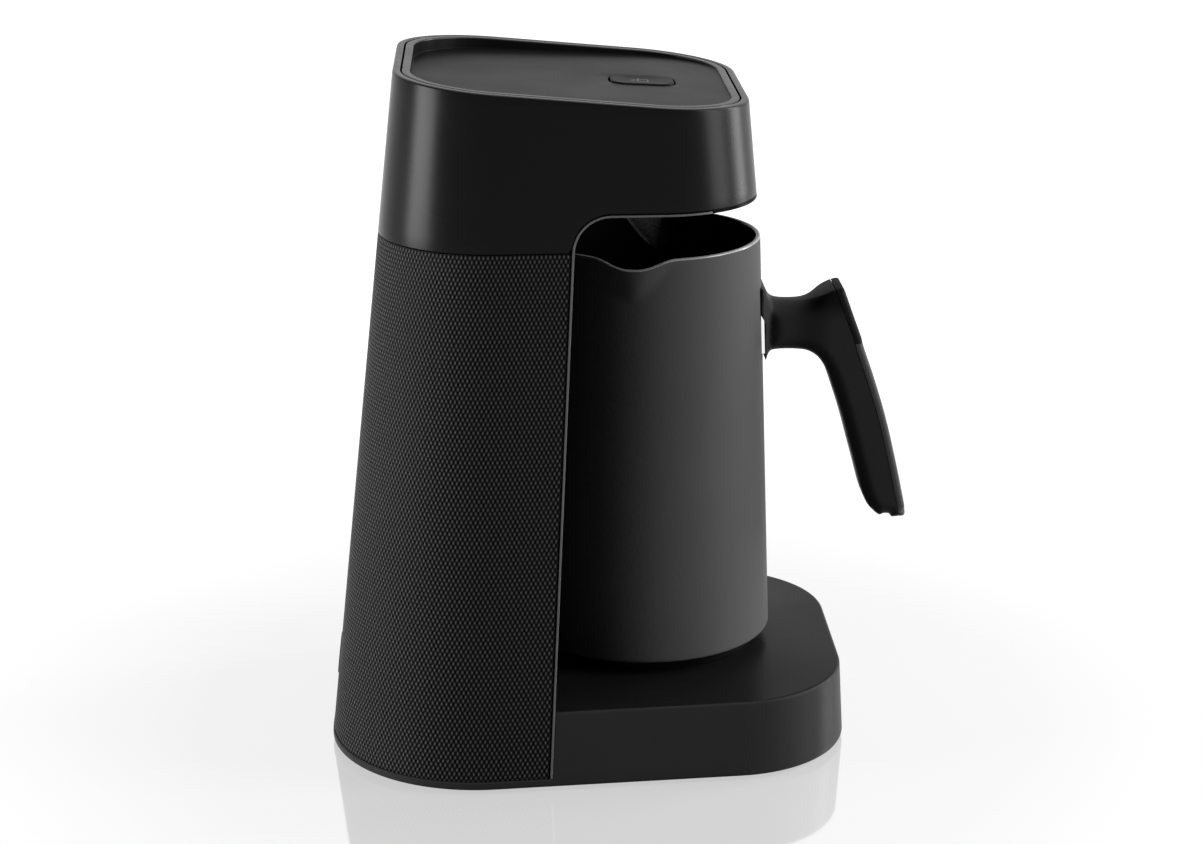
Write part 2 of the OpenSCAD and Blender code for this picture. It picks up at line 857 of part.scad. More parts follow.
// Points of a wire helix: rings of points along the turns
spring_wire = 0.5;
spring_r = stem_r + 1.6;
spring_turns = 3;
wire_sides = 8;
turn_steps = 20;
spring_rings = spring_turns * turn_steps + 1;
spring_low = guide_floor + spring_wire / 2 + contact_gap;
spring_high = flange_under - spring_wire / 2 - contact_gap;
function helix_point(i, j) =
  let (turn = 360 * i / turn_steps, around = 360 * j / wire_sides)
  let (r = spring_r + spring_wire / 2 * cos(around))
  [r * cos(turn), r * sin(turn),
   spring_low + (spring_high - spring_low) * i / (spring_rings - 1) + spring_wire / 2 * sin(around)];
function ring_quad(i, j) =
  let (k = (j + 1) % wire_sides)
  [i * wire_sides + k, (i + 1) * wire_sides + k, (i + 1) * wire_sides + j, i * wire_sides + j];

module button_spring() {
  points = [for (i = [0:spring_rings - 1], j = [0:wire_sides - 1]) helix_point(i, j)];
  last = (spring_rings - 1) * wire_sides;
  sides = [for (i = [0:spring_rings - 2], j = [0:wire_sides - 1]) ring_quad(i, j)];
  first_cap = [for (j = [wire_sides - 1:-1:0]) j];
  last_cap = [for (j = [0:wire_sides - 1]) last + j];
  color([0.7, 0.7, 0.72]) on_top() translate([0, button_y, 0])
    polyhedron(points = points, faces = concat(sides, [first_cap, last_cap]));
}

module switch_body() {
  color([0.12, 0.12, 0.12]) on_top() translate([0, button_y, 0]) difference() {
    translate([-switch_w / 2, -switch_w / 2, board_top]) cube([switch_w, switch_w, switch_t]);
    translate([0, 0, switch_top - plunger_h]) cylinder(r = plunger_r + stem_clear, h = plunger_h + cut);
  }
}

module switch_plunger() {
  top = stem_end - contact_gap;
  color([0.7, 0.66, 0.6]) on_top() translate([0, button_y, top - plunger_h]) cylinder(r = plunger_r, h = plunger_h);
}

module control_board() {
  color([0.1, 0.3, 0.16]) on_top() difference() {
    translate([-board_w / 2, board_front, board_under]) cube([board_w, board_rear - board_front, board_t]);
    panel_posts(screw_r + screw_clear, board_under - cut, board_top + cut);
  }
}

module board_screws() {
  screw_reach = 7;
  color([0.7, 0.7, 0.72]) on_top() {
    panel_posts(screw_head_r, board_under - screw_head_t, board_under);
    panel_posts(screw_r, board_under - eps, board_top + screw_reach);
  }
}

module controller_chip() {
  chip_w = 12;
  chip_t = 2;
  chip_x = -24;
  chip_y = 4;
  color([0.1, 0.1, 0.1]) on_top() translate([chip_x, chip_y, board_under - chip_t]) cube([chip_w, chip_w, chip_t]);
}

module status_led() {
  led_r = 1.5;
  led_h = 3;
  led_y = button_y - button_l / 2 - flange_w - guide_gap - guide_wall - led_r - 1;
  color([0.9, 0.9, 0.85]) on_top() translate([0, led_y, board_top]) cylinder(r = led_r, h = led_h);
}

module buzzer() {
  buzzer_r = 6;
  buzzer_h = 8;
  buzzer_x = 20;
  buzzer_y = 14;
  color([0.08, 0.08, 0.08]) on_top() translate([buzzer_x, buzzer_y, board_under - buzzer_h])
    cylinder(r = buzzer_r, h = buzzer_h);
}

lens_r = 5;
lens_t = 1.6;
sensor_r = 8;

module sensor_lens() {
  color([0.2, 0.05, 0.06]) at_pot() translate([0, 0, ceiling_z]) cylinder(r = lens_r, h = lens_t);
}

module foam_sensor() {
  roof_z = ceiling_z + liner_wall;
  sensor_h = 9;
  color([0.15, 0.15, 0.16]) at_pot() translate([0, 0, roof_z]) difference() {
    cylinder(r = sensor_r, h = sensor_h);
    translate([0, 0, -cut]) cylinder(r = lens_r + seam, h = lens_t - liner_wall + cut);
  }
}

// ---- Pot ----

// Half profile of the pot's wall, floor and skirt
module pot_profile() {
  lip_r = 1.1;
  inner_low = pot_r(floor_z) - pot_wall;
  inner_top = pot_rim_r - pot_wall;
  floor_low = floor_z - pot_floor_t;
  skirt_inner = pot_r(floor_low) - pot_wall;
  low_inner = pot_base_r - pot_wall;
  floor_round = 5;
  polygon([
    [0, floor_low],
    [skirt_inner, floor_low],
    [low_inner, skirt_z],
    [pot_base_r - skirt_edge / 3, skirt_z],
    [pot_base_r, skirt_top_z],
    [pot_rim_r, rim_z - lip_r],
    [inner_top, rim_z - lip_r],
    [inner_low, floor_z + floor_round],
    [inner_low - floor_round, floor_z],
    [0, floor_z]
  ]);
  translate([pot_rim_r - lip_r, rim_z - lip_r]) circle(r = lip_r);
}

// One spout as a full wedge: from its tip at the rim back to a line down the pot's wall
module spout_wedge(inset, rise) {
  tip_r = 2.2;
  tip_h = 2;
  side_r = 1.6;
  root_z = rim_z - spout_depth;
  top = rim_z + rise;
  hull() {
    translate([spout_reach - tip_r, 0, rim_z - tip_h])
      cylinder(r = tip_r - inset, h = tip_h + rise - spout_dip, $fn = hull_fn);
    for (side = [-1, 1]) {
      rotate([0, 0, side * spout_half]) translate([pot_rim_r - side_r, 0, top - tip_h])
        cylinder(r = side_r - inset, h = tip_h, $fn = 16);
    }
    translate([pot_r(root_z) - side_r, 0, root_z]) cylinder(r = side_r - inset, h = tip_h, $fn = 16);
  }
}

module spouts(inset, rise) {
  for (side = [0, 180]) {
    rotate([0, 0, 180 - spout_turn + side]) spout_wedge(inset, rise);
  }
}

module connector_window() {
  translate([-plug_w / 2 - seam, plug_inner_y + 2, plug_z - plug_t / 2 - seam])
    cube([plug_w + 2 * seam, far, plug_t + 2 * seam]);
}

module pot_body() {
  spout_wall = 1.1;
  color([0.12, 0.12, 0.125]) at_pot() difference() {
    union() {
      rotate_extrude() pot_profile();
      difference() {
        spouts(0, 0);
        translate([0, 0, floor_z]) cylinder(r1 = pot_r(floor_z) - pot_wall, r2 = pot_rim_r - pot_wall,
                                            h = rim_z - floor_z + cut);
      }
    }
    spouts(spout_wall, cut);
    connector_window();
  }
}

module heating_plate() {
  color([0.72, 0.72, 0.74]) at_pot() translate([0, 0, heat_under_z]) cylinder(r = heat_plate_r, h = heat_plate_t);
}

// Tubular element under the plate, open to the rear, with its two cold ends
module heating_element() {
  tube_z = heat_under_z - element_tube_r;
  end_r = 1.6;
  end_x = element_r * sin(element_open);
  end_y = element_r * cos(element_open);
  color([0.45, 0.42, 0.4]) at_pot() translate([0, 0, tube_z]) {
    rotate([0, 0, 90 + element_open]) rotate_extrude(angle = 360 - 2 * element_open)
      translate([element_r, 0]) circle(r = element_tube_r);
    for (side = [-1, 1]) {
      translate([side * end_x, end_y - end_r, 0]) rotate([-90, 0, 0])
        cylinder(r = end_r, h = plug_inner_y - end_y + end_r);
    }
  }
}

module thermostat() {
  body_r = 8;
  body_h = 7;
  color([0.8, 0.78, 0.7]) at_pot() translate([0, 0, heat_under_z - body_h]) cylinder(r = body_r, h = body_h);
}

module thermal_fuse() {
  fuse_r = 2;
  fuse_l = 16;
  fuse_y = -14;
  color([0.85, 0.85, 0.8]) at_pot() translate([-fuse_l / 2, fuse_y, heat_under_z - fuse_r]) rotate([0, 90, 0])
    cylinder(r = fuse_r, h = fuse_l);
}

module cap_posts(r, low, high) {
  for (turn = [30, 150, 270]) {
    rotate([0, 0, turn + 180]) translate([cap_post_ring, 0, low]) cylinder(r = r, h = high - low);
  }
}

module pot_base_cap() {
  cap_r = pot_base_r - pot_wall - seam - 0.2;
  head_seat = 2;
  color([0.07, 0.07, 0.07]) at_pot() difference() {
    union() {
      translate([0, 0, cap_z]) cylinder(r = cap_r, h = cap_plate_t);
      translate([0, 0, crown_z + foot_gap]) difference() {
        cylinder(r = foot_ring_r, h = cap_z - crown_z - foot_gap + eps);
        translate([0, 0, -cut]) cylinder(r = foot_ring_r - foot_ring_w, h = cap_z - crown_z + cut);
      }
      cap_posts(cap_post_r, cap_z, heat_under_z);
    }
    cap_posts(screw_r + screw_clear, cap_z - cut, heat_under_z - 2);
    cap_posts(screw_head_r - 0.3 + seam, cap_z - cut, cap_z + 1);
  }
}

module cap_screws() {
  color([0.7, 0.7, 0.72]) at_pot() {
    cap_posts(screw_head_r - 0.3, cap_z - 0.6, cap_z + 1);
    cap_posts(screw_r, cap_z + 1 - eps, heat_under_z - 3);
  }
}

module pot_connector() {
  web_w = 16;
  color([0.06, 0.06, 0.06]) at_pot() difference() {
    union() {
      translate([-plug_w / 2, plug_inner_y, plug_z - plug_t / 2]) cube([plug_w, plug_reach - plug_inner_y, plug_t]);
      translate([-web_w / 2, plug_inner_y, cap_z + cap_plate_t])
        cube([web_w, 5, plug_z - cap_z - cap_plate_t]);
    }
    for (x = contact_xs) {
      translate([x, plug_reach - sleeve_l - 1, plug_z]) rotate([-90, 0, 0])
        cylinder(r = sleeve_r, h = sleeve_l + 1 + cut);
    }
  }
}

module contact_sleeves() {
  color([0.75, 0.6, 0.3]) at_pot() for (x = contact_xs) {
    translate([x, plug_reach - sleeve_l - 0.5, plug_z]) rotate([-90, 0, 0]) difference() {
      cylinder(r = sleeve_r, h = sleeve_l);
      translate([0, 0, 1]) cylinder(r = pin_r + pin_clear, h = sleeve_l);
    }
  }
}

// ---- Handle ----

// A cone just outside the pot's wall, for the bracket and the neck to sit on
module pot_cone(grow) {
  low_z = neck_z - neck_t;
  high_z = neck_z + neck_t;
  translate([0, 0, low_z]) cylinder(r1 = pot_r(low_z) + grow, r2 = pot_r(high_z) + grow, h = high_z - low_z);
}

module handle_bar(y, z, r, w) {
  for (k = [[w, r - grip_edge / 2], [w - 2 * grip_edge, r]]) {
    translate([-k[0] / 2, y, z]) rotate([0, 90, 0]) cylinder(r = k[1], h = k[0], $fn = 32);
  }
}

// The whole grip before it is split into its core, cover and thumb pad
module grip_solid() {
  hull() {
    handle_bar(grip_mid_y, grip_mid_z, grip_mid_r, grip_w);
    handle_bar(grip_low_y, grip_low_z, grip_low_r, grip_w - grip_edge);
  }
  hull() {
    handle_bar(thumb_y, thumb_z, thumb_r, grip_w);
    handle_bar(thumb_low_y, thumb_low_z, thumb_low_r, grip_w);
    handle_bar(elbow_y, elbow_z, elbow_r, grip_w);
  }
  hull() {
    handle_bar(elbow_y, elbow_z, elbow_r, grip_w - grip_edge);
    handle_bar(thumb_low_y, thumb_low_z, thumb_low_r, grip_w);
    handle_bar(grip_mid_y, grip_mid_z, grip_mid_r, grip_w);
  }
}

// Everything outside the split line that runs down the grip's outer side
module outer_side(depth) {
  lower_turn = atan((grip_mid_y - grip_mid_r - grip_low_y + grip_low_r) / (grip_mid_z - grip_low_z));
  upper_turn = atan((thumb_y - thumb_r - thumb_low_y + thumb_low_r) / (thumb_z - thumb_low_z));
  intersection() {
    translate([0, grip_low_y - grip_low_r + depth, grip_low_z]) rotate([-lower_turn, 0, 0])
      translate([-far, -far, -far]) cube([2 * far, far, 2 * far]);
    slab(-far, pad_end_z);
  }
  intersection() {
    translate([0, thumb_low_y - thumb_low_r + depth, thumb_low_z]) rotate([-upper_turn, 0, 0])
      translate([-far, -far, -far]) cube([2 * far, far, 2 * far]);
    slab(pad_end_z, far);
  }
}

module neck_solid() {
  neck_start = -pot_rim_r + 4;
  neck_r = 4;
  hull() {
    for (side = [-1, 1], z = [-1, 1], y = [neck_start, elbow_y]) {
      translate([side * (neck_w / 2 - neck_r), y, neck_z + z * (neck_t / 2 - neck_r)]) rotate([90, 0, 0])
        cylinder(r = neck_r, h = 0.5, center = true, $fn = 32);
    }
  }
}

module handle_bore(r, from, to) {
  translate([0, to, neck_z]) rotate([-90, 0, 0]) cylinder(r = r, h = from - to);
}

module handle_bracket() {
  pad_w = neck_w + 2 * bracket_margin;
  pad_h = neck_t + 2 * bracket_margin;
  stud_start = -pot_r(neck_z) - bracket_t / 2;
  color([0.8, 0.8, 0.82]) at_pot() difference() {
    union() {
      difference() {
        intersection() {
          pot_cone(bracket_t);
          translate([-pad_w / 2, -far, neck_z - pad_h / 2]) cube([pad_w, far, pad_h]);
        }
        pot_cone(0);
      }
      difference() {
        handle_bore(stud_r, stud_start, stud_start - stud_l);
        pot_cone(bracket_t / 2);
      }
    }
    handle_bore(handle_screw_r, stud_start - 2, stud_start - stud_l - cut);
  }
}

module handle_core() {
  stud_end = -pot_r(neck_z) - bracket_t / 2 - stud_l;
  color([0.1, 0.1, 0.105]) at_pot() difference() {
    union() {
      grip_solid();
      neck_solid();
    }
    outer_side(cover_skin);
    pot_cone(bracket_t);
    handle_bore(stud_r + screw_clear, 0, stud_end - 0.5);
    handle_bore(handle_screw_r + screw_clear, stud_end + cut, -far / 4);
    handle_bore(handle_screw_head_r + seam, handle_screw_y, -far / 4);
  }
}

module handle_cover() {
  color([0.13, 0.13, 0.135]) at_pot() intersection() {
    grip_solid();
    outer_side(cover_skin - seam);
    slab(-far, pad_end_z - seam / 2);
  }
}

module thumb_pad() {
  rib_pitch = 3;
  rib_d = 0.8;
  color([0.06, 0.06, 0.06]) at_pot() difference() {
    intersection() {
      grip_solid();
      outer_side(cover_skin - seam);
      slab(pad_end_z + seam / 2, far);
    }
    for (i = [1:5]) {
      z = pad_end_z + i * rib_pitch;
      rib_y = thumb_low_y - thumb_low_r + (thumb_y - thumb_r - thumb_low_y + thumb_low_r)
              * (z - thumb_low_z) / (thumb_z - thumb_low_z);
      translate([-grip_w, rib_y - rib_d / 3, z]) rotate([0, 90, 0]) cylinder(d = rib_d, h = 2 * grip_w);
    }
  }
}

module handle_screw() {
  stud_start = -pot_r(neck_z) - bracket_t / 2;
  color([0.75, 0.75, 0.77]) at_pot() {
    handle_bore(handle_screw_r - screw_clear, stud_start - 3, handle_screw_y);
    handle_bore(handle_screw_head_r, handle_screw_y, handle_screw_y - handle_screw_head_t);
  }
}

base_shell();
bottom_cover();
rubber_foot(0);  // rubber_foot_1
rubber_foot(1);  // rubber_foot_2
rubber_foot(2);  // rubber_foot_3
rubber_foot(3);  // rubber_foot_4
bottom_screws();
niche_liner();
knit_panel();
upper_shell();
top_panel();
button_guide();
start_button();
button_icon();
button_spring();
switch_body();
switch_plunger();
control_board();
controller_chip();
board_screws();
status_led();
buzzer();
foam_sensor();
sensor_lens();
chassis();
power_board();
transformer();
relay();
filter_capacitor();
terminal_block();
board_header();
ribbon_cable();
power_socket();
socket_pins();
socket_leads();
cord_gland();
pot_body();
heating_plate();
heating_element();
thermostat();
thermal_fuse();
pot_base_cap();
cap_screws();
pot_connector();
contact_sleeves();
handle_bracket();
handle_core();
handle_cover();
thumb_pad();
handle_screw();
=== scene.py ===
from math import acos, atan, atan2, cos, hypot, pi, radians, sin, sqrt, tan

import bmesh
import bpy
import numpy as np
from mathutils import Matrix, Vector
from mathutils.geometry import delaunay_2d_cdt


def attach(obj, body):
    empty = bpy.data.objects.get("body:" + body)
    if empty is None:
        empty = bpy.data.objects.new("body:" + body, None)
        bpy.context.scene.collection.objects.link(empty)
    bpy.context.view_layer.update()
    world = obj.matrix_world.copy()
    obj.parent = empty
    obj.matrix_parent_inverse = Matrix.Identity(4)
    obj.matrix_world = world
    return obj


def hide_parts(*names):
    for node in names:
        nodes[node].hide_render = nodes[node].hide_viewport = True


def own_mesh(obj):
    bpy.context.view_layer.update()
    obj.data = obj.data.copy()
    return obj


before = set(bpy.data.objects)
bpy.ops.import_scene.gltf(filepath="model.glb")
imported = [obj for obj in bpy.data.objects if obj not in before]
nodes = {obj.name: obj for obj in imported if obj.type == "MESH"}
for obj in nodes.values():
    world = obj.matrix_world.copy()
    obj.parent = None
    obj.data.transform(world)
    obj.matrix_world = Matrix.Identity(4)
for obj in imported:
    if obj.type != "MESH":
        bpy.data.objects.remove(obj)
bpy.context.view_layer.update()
scene = bpy.context.scene
MM = 0.001

# ---- Sizes in millimetres, from the pot's axis, over the surface that the machine stands on ----

POT_Y = -9.3
UNDERSIDE_Z = 1.5
BAND_Z = 4.5
PLATE_Z = 28.5
CROWN_Z = 30.5
SKIRT_Z = 35.3
RIM_Z = 178.0
CEILING_Z = 197.5
WRAP_TOP_Z = 185.8
TOP_Z = 233.0
TILT = radians(5)
SLOPE = 1 / cos(TILT)

BASE_REAR_W, BASE_FRONT_W = 148.3, 134.0
BASE_REAR, BASE_FRONT = 112.5, 70.0
BASE_REAR_R, BASE_FRONT_R = 53.0, 43.5
BASE_DRAFT, BASE_EDGE = 1.5, 1.2
TOP_W, TOP_R, TOP_REAR, TOP_FRONT = 120.6, 34.4, 85.4, 32.7
FRONT_LEAN = radians(5.3)
LOW_FRONT = TOP_FRONT + (TOP_Z - UNDERSIDE_Z) * tan(FRONT_LEAN)
LOW_FRONT_SHARE = (BASE_FRONT - LOW_FRONT) / (BASE_REAR + BASE_FRONT)
LOW_FRONT_W = BASE_FRONT_W + (BASE_REAR_W - BASE_FRONT_W) * LOW_FRONT_SHARE
SHELL_WALL, WRAP_WALL, LINER_WALL = 2.6, 2.2, 1.2
NICHE_R, NICHE_CORNER_R = 49.0, 12.0
EDGE_LOW, EDGE_HIGH, CEILING_H = 35.5, 26.2, CEILING_Z - UNDERSIDE_Z
EDGE_LEAN = atan((EDGE_LOW - EDGE_HIGH) / CEILING_H)
# Where the liner and the base's inside stand on the band
SEAT_Z = BAND_Z + 0.2


# ---- Camera ----

FOCAL_PX, IMAGE_W, SENSOR_MM = 2600.0, 1202.0, 36.0
CAMERA_AT = Vector((-0.881402, 0.055133 + POT_Y * MM, 0.383621 + UNDERSIDE_Z * MM))
CAMERA_TURN, CAMERA_DIP, CAMERA_ROLL = -0.045, 0.303, -0.001


def new_object(name, data):
    made = bpy.data.objects.new(name, data)
    scene.collection.objects.link(made)
    return made


def make_camera():
    data = bpy.data.cameras.new("camera")
    data.sensor_width, data.lens = SENSOR_MM, SENSOR_MM * FOCAL_PX / IMAGE_W
    data.clip_start, data.clip_end = 0.05, 20.0
    ahead = Vector((cos(CAMERA_TURN) * cos(CAMERA_DIP),
                    sin(CAMERA_TURN) * cos(CAMERA_DIP), -sin(CAMERA_DIP)))
    right = ahead.cross(Vector((0, 0, 1))).normalized()
    axes = Matrix((right, right.cross(ahead), -ahead)).transposed()
    turn = axes @ Matrix.Rotation(CAMERA_ROLL, 3, "Z")
    scene.camera = new_object("camera", data)
    scene.camera.matrix_world = Matrix.Translation(CAMERA_AT) @ turn.to_4x4()


make_camera()


# ---- Materials ----

CLOUD_SCALE, CLOUD_SPAN, COAT_ROUGH = 38.0, (0.3, 0.7), 0.15
WAVE_SCALE, WAVE_DEPTH, WAVE_STRENGTH = 26.0, 0.00006, 0.35
METAL_GRAIN, METAL_DEPTH = 900.0, 0.00001
# Painted shade on the grip's rise under the thumb: where it sets in, in millimetres from the pot's
# axis, and its colour
THUMB_SHADE_Z, THUMB_SHADE_Y, THUMB_SHADE = (147.5, 154.0), (-60.0, -53.0), (0.007, 0.007)
# The knit's colour: nearly black down each dimple as painted shade, lighter on the knots; how sharp
# that turns, and its bump
KNIT_DIMPLE_SHADE, KNIT_LIGHT, KNIT_SHARP, KNIT_BUMP = (0.0003, 0.0003), (0.115, 0.116), 3.2, 0.0003


def add(tree, kind, *inputs, **values):
    """Adds a node with its inputs in order, and gives its outputs.

    A value is a setting of the node or one of its inputs. An input is a number, a colour or the
    output that feeds it, or None to leave it as it is.
    """
    node = tree.nodes.new("ShaderNode" + kind)
    for key, value in [*values.items(), *enumerate(inputs)]:
        if isinstance(value, bpy.types.NodeSocket):
            tree.links.new(value, node.inputs[key])
        elif isinstance(key, str) and hasattr(node, key):
            setattr(node, key, value)
        elif value is not None:
            node.inputs[key].default_value = value
    return node.outputs


def new_material(name):
    material = bpy.data.materials.new(name)
    material.use_nodes = True
    material.node_tree.nodes.clear()
    return material, material.node_tree


SHADER_INPUTS = {
    "colour": "Base Color", "rough": "Roughness", "normal": "Normal", "metallic": "Metallic",
    "specular": "Specular IOR Level", "coat": "Coat Weight", "coat_rough": "Coat Roughness",
}


def principled(tree, **values):
    inputs = {SHADER_INPUTS[key]: value for key, value in values.items()}
    return add(tree, "BsdfPrincipled", **inputs)[0]


def coordinates(tree):
    return add(tree, "TexCoord")["Object"]


def noise(coords, scale, detail):
    return add(coords.id_data, "TexNoise", coords, Scale=scale, Detail=detail)["Fac"]


def remap(value, low, high, from_low=0.0, from_high=1.0):
    return add(value.id_data, "MapRange", value, from_low, from_high, low, high)["Result"]


def calc(operation, *inputs):
    return add(inputs[0].id_data, "Math", *inputs, operation=operation)[0]


def bump(height, distance, strength=1.0, under=None):
    return add(height.id_data, "Bump", strength, distance, Height=height, Normal=under)[0]


def mix(fac, low, high):
    """A colour between two, each an output, (red, green, blue), or (red and green, blue)."""
    ends = [c if isinstance(c, bpy.types.NodeSocket) else (*c[:1], *c[-2:], 1) for c in (low, high)]
    return add(fac.id_data, "Mix", fac, *[None] * 5, *ends, data_type="RGBA")[2]


def thumb_wear(coords, colour):
    """Painted shade: the grip's colour darkened over its rise under the thumb."""
    place = add(coords.id_data, "SeparateXYZ", coords)
    rise = remap(place["Z"], 0.0, 1.0, *(z * MM for z in THUMB_SHADE_Z))
    reach = remap(place["Y"], 1.0, 0.0, *((POT_Y + y) * MM for y in THUMB_SHADE_Y))
    return mix(calc("MULTIPLY", rise, reach), colour, THUMB_SHADE)


def moulded(name, dark, light, rough, grain=2200.0, depth=0.00002, painted_shade=False, **gloss_values):
    """A moulded plastic: fine grain, faint waviness, and a colour and gloss that vary a little."""
    material, tree = new_material(name)
    coords = coordinates(tree)
    clouds = noise(coords, CLOUD_SCALE, 4.0)
    colour = mix(clouds, dark, light)
    wave = bump(noise(coords, WAVE_SCALE, 1.0), WAVE_DEPTH, WAVE_STRENGTH)
    # When asked, the colour is darkened over the grip's rise under the thumb: painted shade
    shader = principled(tree, colour=thumb_wear(coords, colour) if painted_shade else colour,
                        rough=remap(clouds, *rough, *CLOUD_SPAN), coat_rough=COAT_ROUGH,
                        normal=bump(noise(coords, grain, 2.0), depth, 1.0, wave), **gloss_values)
    add(tree, "OutputMaterial", shader)
    return material


def metal(name, dark, light, rough, stretch):
    """A metal with a fine grain, drawn out along the axes with a small stretch."""
    material, tree = new_material(name)
    grain = noise(add(tree, "Mapping", coordinates(tree), Scale=stretch)[0], METAL_GRAIN, 3.0)
    shader = principled(tree, colour=mix(grain, dark, light), rough=remap(grain, *rough),
                        normal=bump(grain, METAL_DEPTH), metallic=1.0)
    add(tree, "OutputMaterial", shader)
    return material


# Name, darker and lighter colour, roughness from and to, and for some the grain's scale and depth
satin = moulded("satin_black", (0.0040, 0.0042), (0.0050, 0.0052), (0.25, 0.30), specular=0.07)
deck_mat = moulded("base_black", (0.029, 0.0294), (0.034, 0.0344), (0.34, 0.40), specular=0.03)
# The base's top is one moulding with its sides, but gets a darker copy of their black: painted
# shade
base_top_painted_shade = moulded("plate_black_painted_shade", (0.007, 0.0072), (0.010, 0.0102), (0.26, 0.32), specular=0.06)
panel_mat = moulded("panel_black", (0.007, 0.0072), (0.009, 0.0092), (0.28, 0.34), specular=0.021)
key_mat = moulded("key_black", (0.007, 0.0072), (0.009, 0.0092), (0.34, 0.40), specular=0.024)
# A lighter copy of the black for the top's edges and frame: its lighter colour paints their
# highlight, its higher gloss catches the lamps
strip_painted_highlight = moulded("strip_black_painted_highlight", (0.012, 0.0122), (0.016, 0.0162), (0.24, 0.30), specular=0.16)
gloss = moulded("niche_black", (0.0008, 0.0008), (0.0011, 0.0011), (0.22, 0.28), specular=0.012)
foot_mat = moulded("foot_black", (0.0022, 0.0023), (0.0032, 0.0033), (0.35, 0.45), specular=0.03)
# The grip's colour darkens over the rise under the thumb: painted shade
grip_mat = moulded("grip_black", (0.028, 0.0284), (0.034, 0.0344), (0.34, 0.42), 1500.0, 0.00004,
                   specular=0.02, painted_shade=True)
cover_mat = moulded("cover_grey", (0.056, 0.0565), (0.064, 0.0645), (0.38, 0.46), 1500.0, 0.00004,
                    specular=0.03)
pad_mat = moulded("pad_black", (0.009, 0.0092), (0.011, 0.0112), (0.5, 0.6), 1200.0, 0.00005,
                  specular=0.03)
coating = moulded("pot_coating", (0.074, 0.0745), (0.084, 0.0845), (0.42, 0.5), 900.0, 0.00004,
                  specular=0.006)
inside_mat = moulded("pot_inside", (0.0026, 0.0027), (0.0036, 0.0037), (0.18, 0.24), 900.0, 0.00003,
                     specular=0.3)
# The rim's rounded lip: far lighter than the coating, a painted highlight
lip_painted_highlight = moulded("pot_lip_painted_highlight", (0.24, 0.242), (0.28, 0.282), (0.22, 0.28), 900.0)
# A light colour on the liner's edge bead: a painted highlight
bead_painted_highlight = moulded("edge_bead_painted_highlight", (0.11, 0.111), (0.13, 0.131), (0.25, 0.32), 900.0, specular=0.25)
rubber = moulded("rubber_black", (0.010, 0.010), (0.014, 0.014), (0.6, 0.72), 700.0, 0.00005,
                 specular=0.3)
inner_plastic = moulded("inner_plastic", (0.02, 0.0205), (0.03, 0.0305), (0.4, 0.5), 900.0, 0.00004,
                        specular=0.4)
grey_plastic = moulded("grey_plastic", (0.30, 0.31), (0.36, 0.37), (0.35, 0.45))
mark_mat = moulded("mark_grey", (0.10, 0.102), (0.12, 0.122), (0.4, 0.5))
board_green = moulded("board_green", (0.015, 0.10, 0.04), (0.025, 0.14, 0.055), (0.25, 0.4), 300.0,
                      0.00004, coat=0.3)
red_sleeve = moulded("red_sleeve", (0.4, 0.03, 0.02), (0.5, 0.05, 0.035), (0.4, 0.5))
white_ceramic = moulded("white_ceramic", (0.62, 0.61, 0.56), (0.72, 0.71, 0.66), (0.3, 0.4))
smoked = moulded("smoked_lens", (0.03, 0.005, 0.007), (0.045, 0.008, 0.01), (0.05, 0.1), coat=0.5)
steel = metal("steel", (0.42, 0.43), (0.6, 0.61), (0.22, 0.38), (1, 1, 6))
bright_steel = metal("bright_steel", (0.68, 0.7), (0.8, 0.81), (0.1, 0.18), (1, 1, 5))
brass = metal("brass", (0.62, 0.42, 0.16), (0.75, 0.55, 0.25), (0.18, 0.3), (1, 4, 1))
aluminium = metal("aluminium", (0.62, 0.63), (0.75, 0.76), (0.3, 0.42), (3, 3, 1))


def knit_material():
    """The wrap's fine mesh: rows of small round dimples, each row set over by half a step, with
    painted shade down each dimple.
    """
    material, tree = new_material("knit_mesh")
    place = add(tree, "SeparateXYZ", add(tree, "UVMap", uv_map="knit")[0])
    across = calc("COSINE", calc("MULTIPLY", place[0], 2 * pi))
    along = calc("COSINE", calc("MULTIPLY", place[1], pi))
    # 0 at the bottom of a dimple, 1 on the knot between dimples
    height = remap(calc("MULTIPLY", across, along), 1.0, 0.0, -1.0, 1.0)
    coords = coordinates(tree)
    normal = bump(noise(coords, 2500.0, 2.0), 0.00002, 1.0, bump(height, KNIT_BUMP, 0.8))
    # Down each dimple the colour goes nearly black: painted shade
    shader = principled(tree, colour=mix(calc("POWER", height, KNIT_SHARP), KNIT_DIMPLE_SHADE, KNIT_LIGHT),
                        rough=remap(noise(coords, 30.0, 3.0), 0.40, 0.48, *CLOUD_SPAN),
                        normal=normal, specular=0.03)
    add(tree, "OutputMaterial", shader)
    return material


knit_mat = knit_material()


# ---- Mesh helpers ----

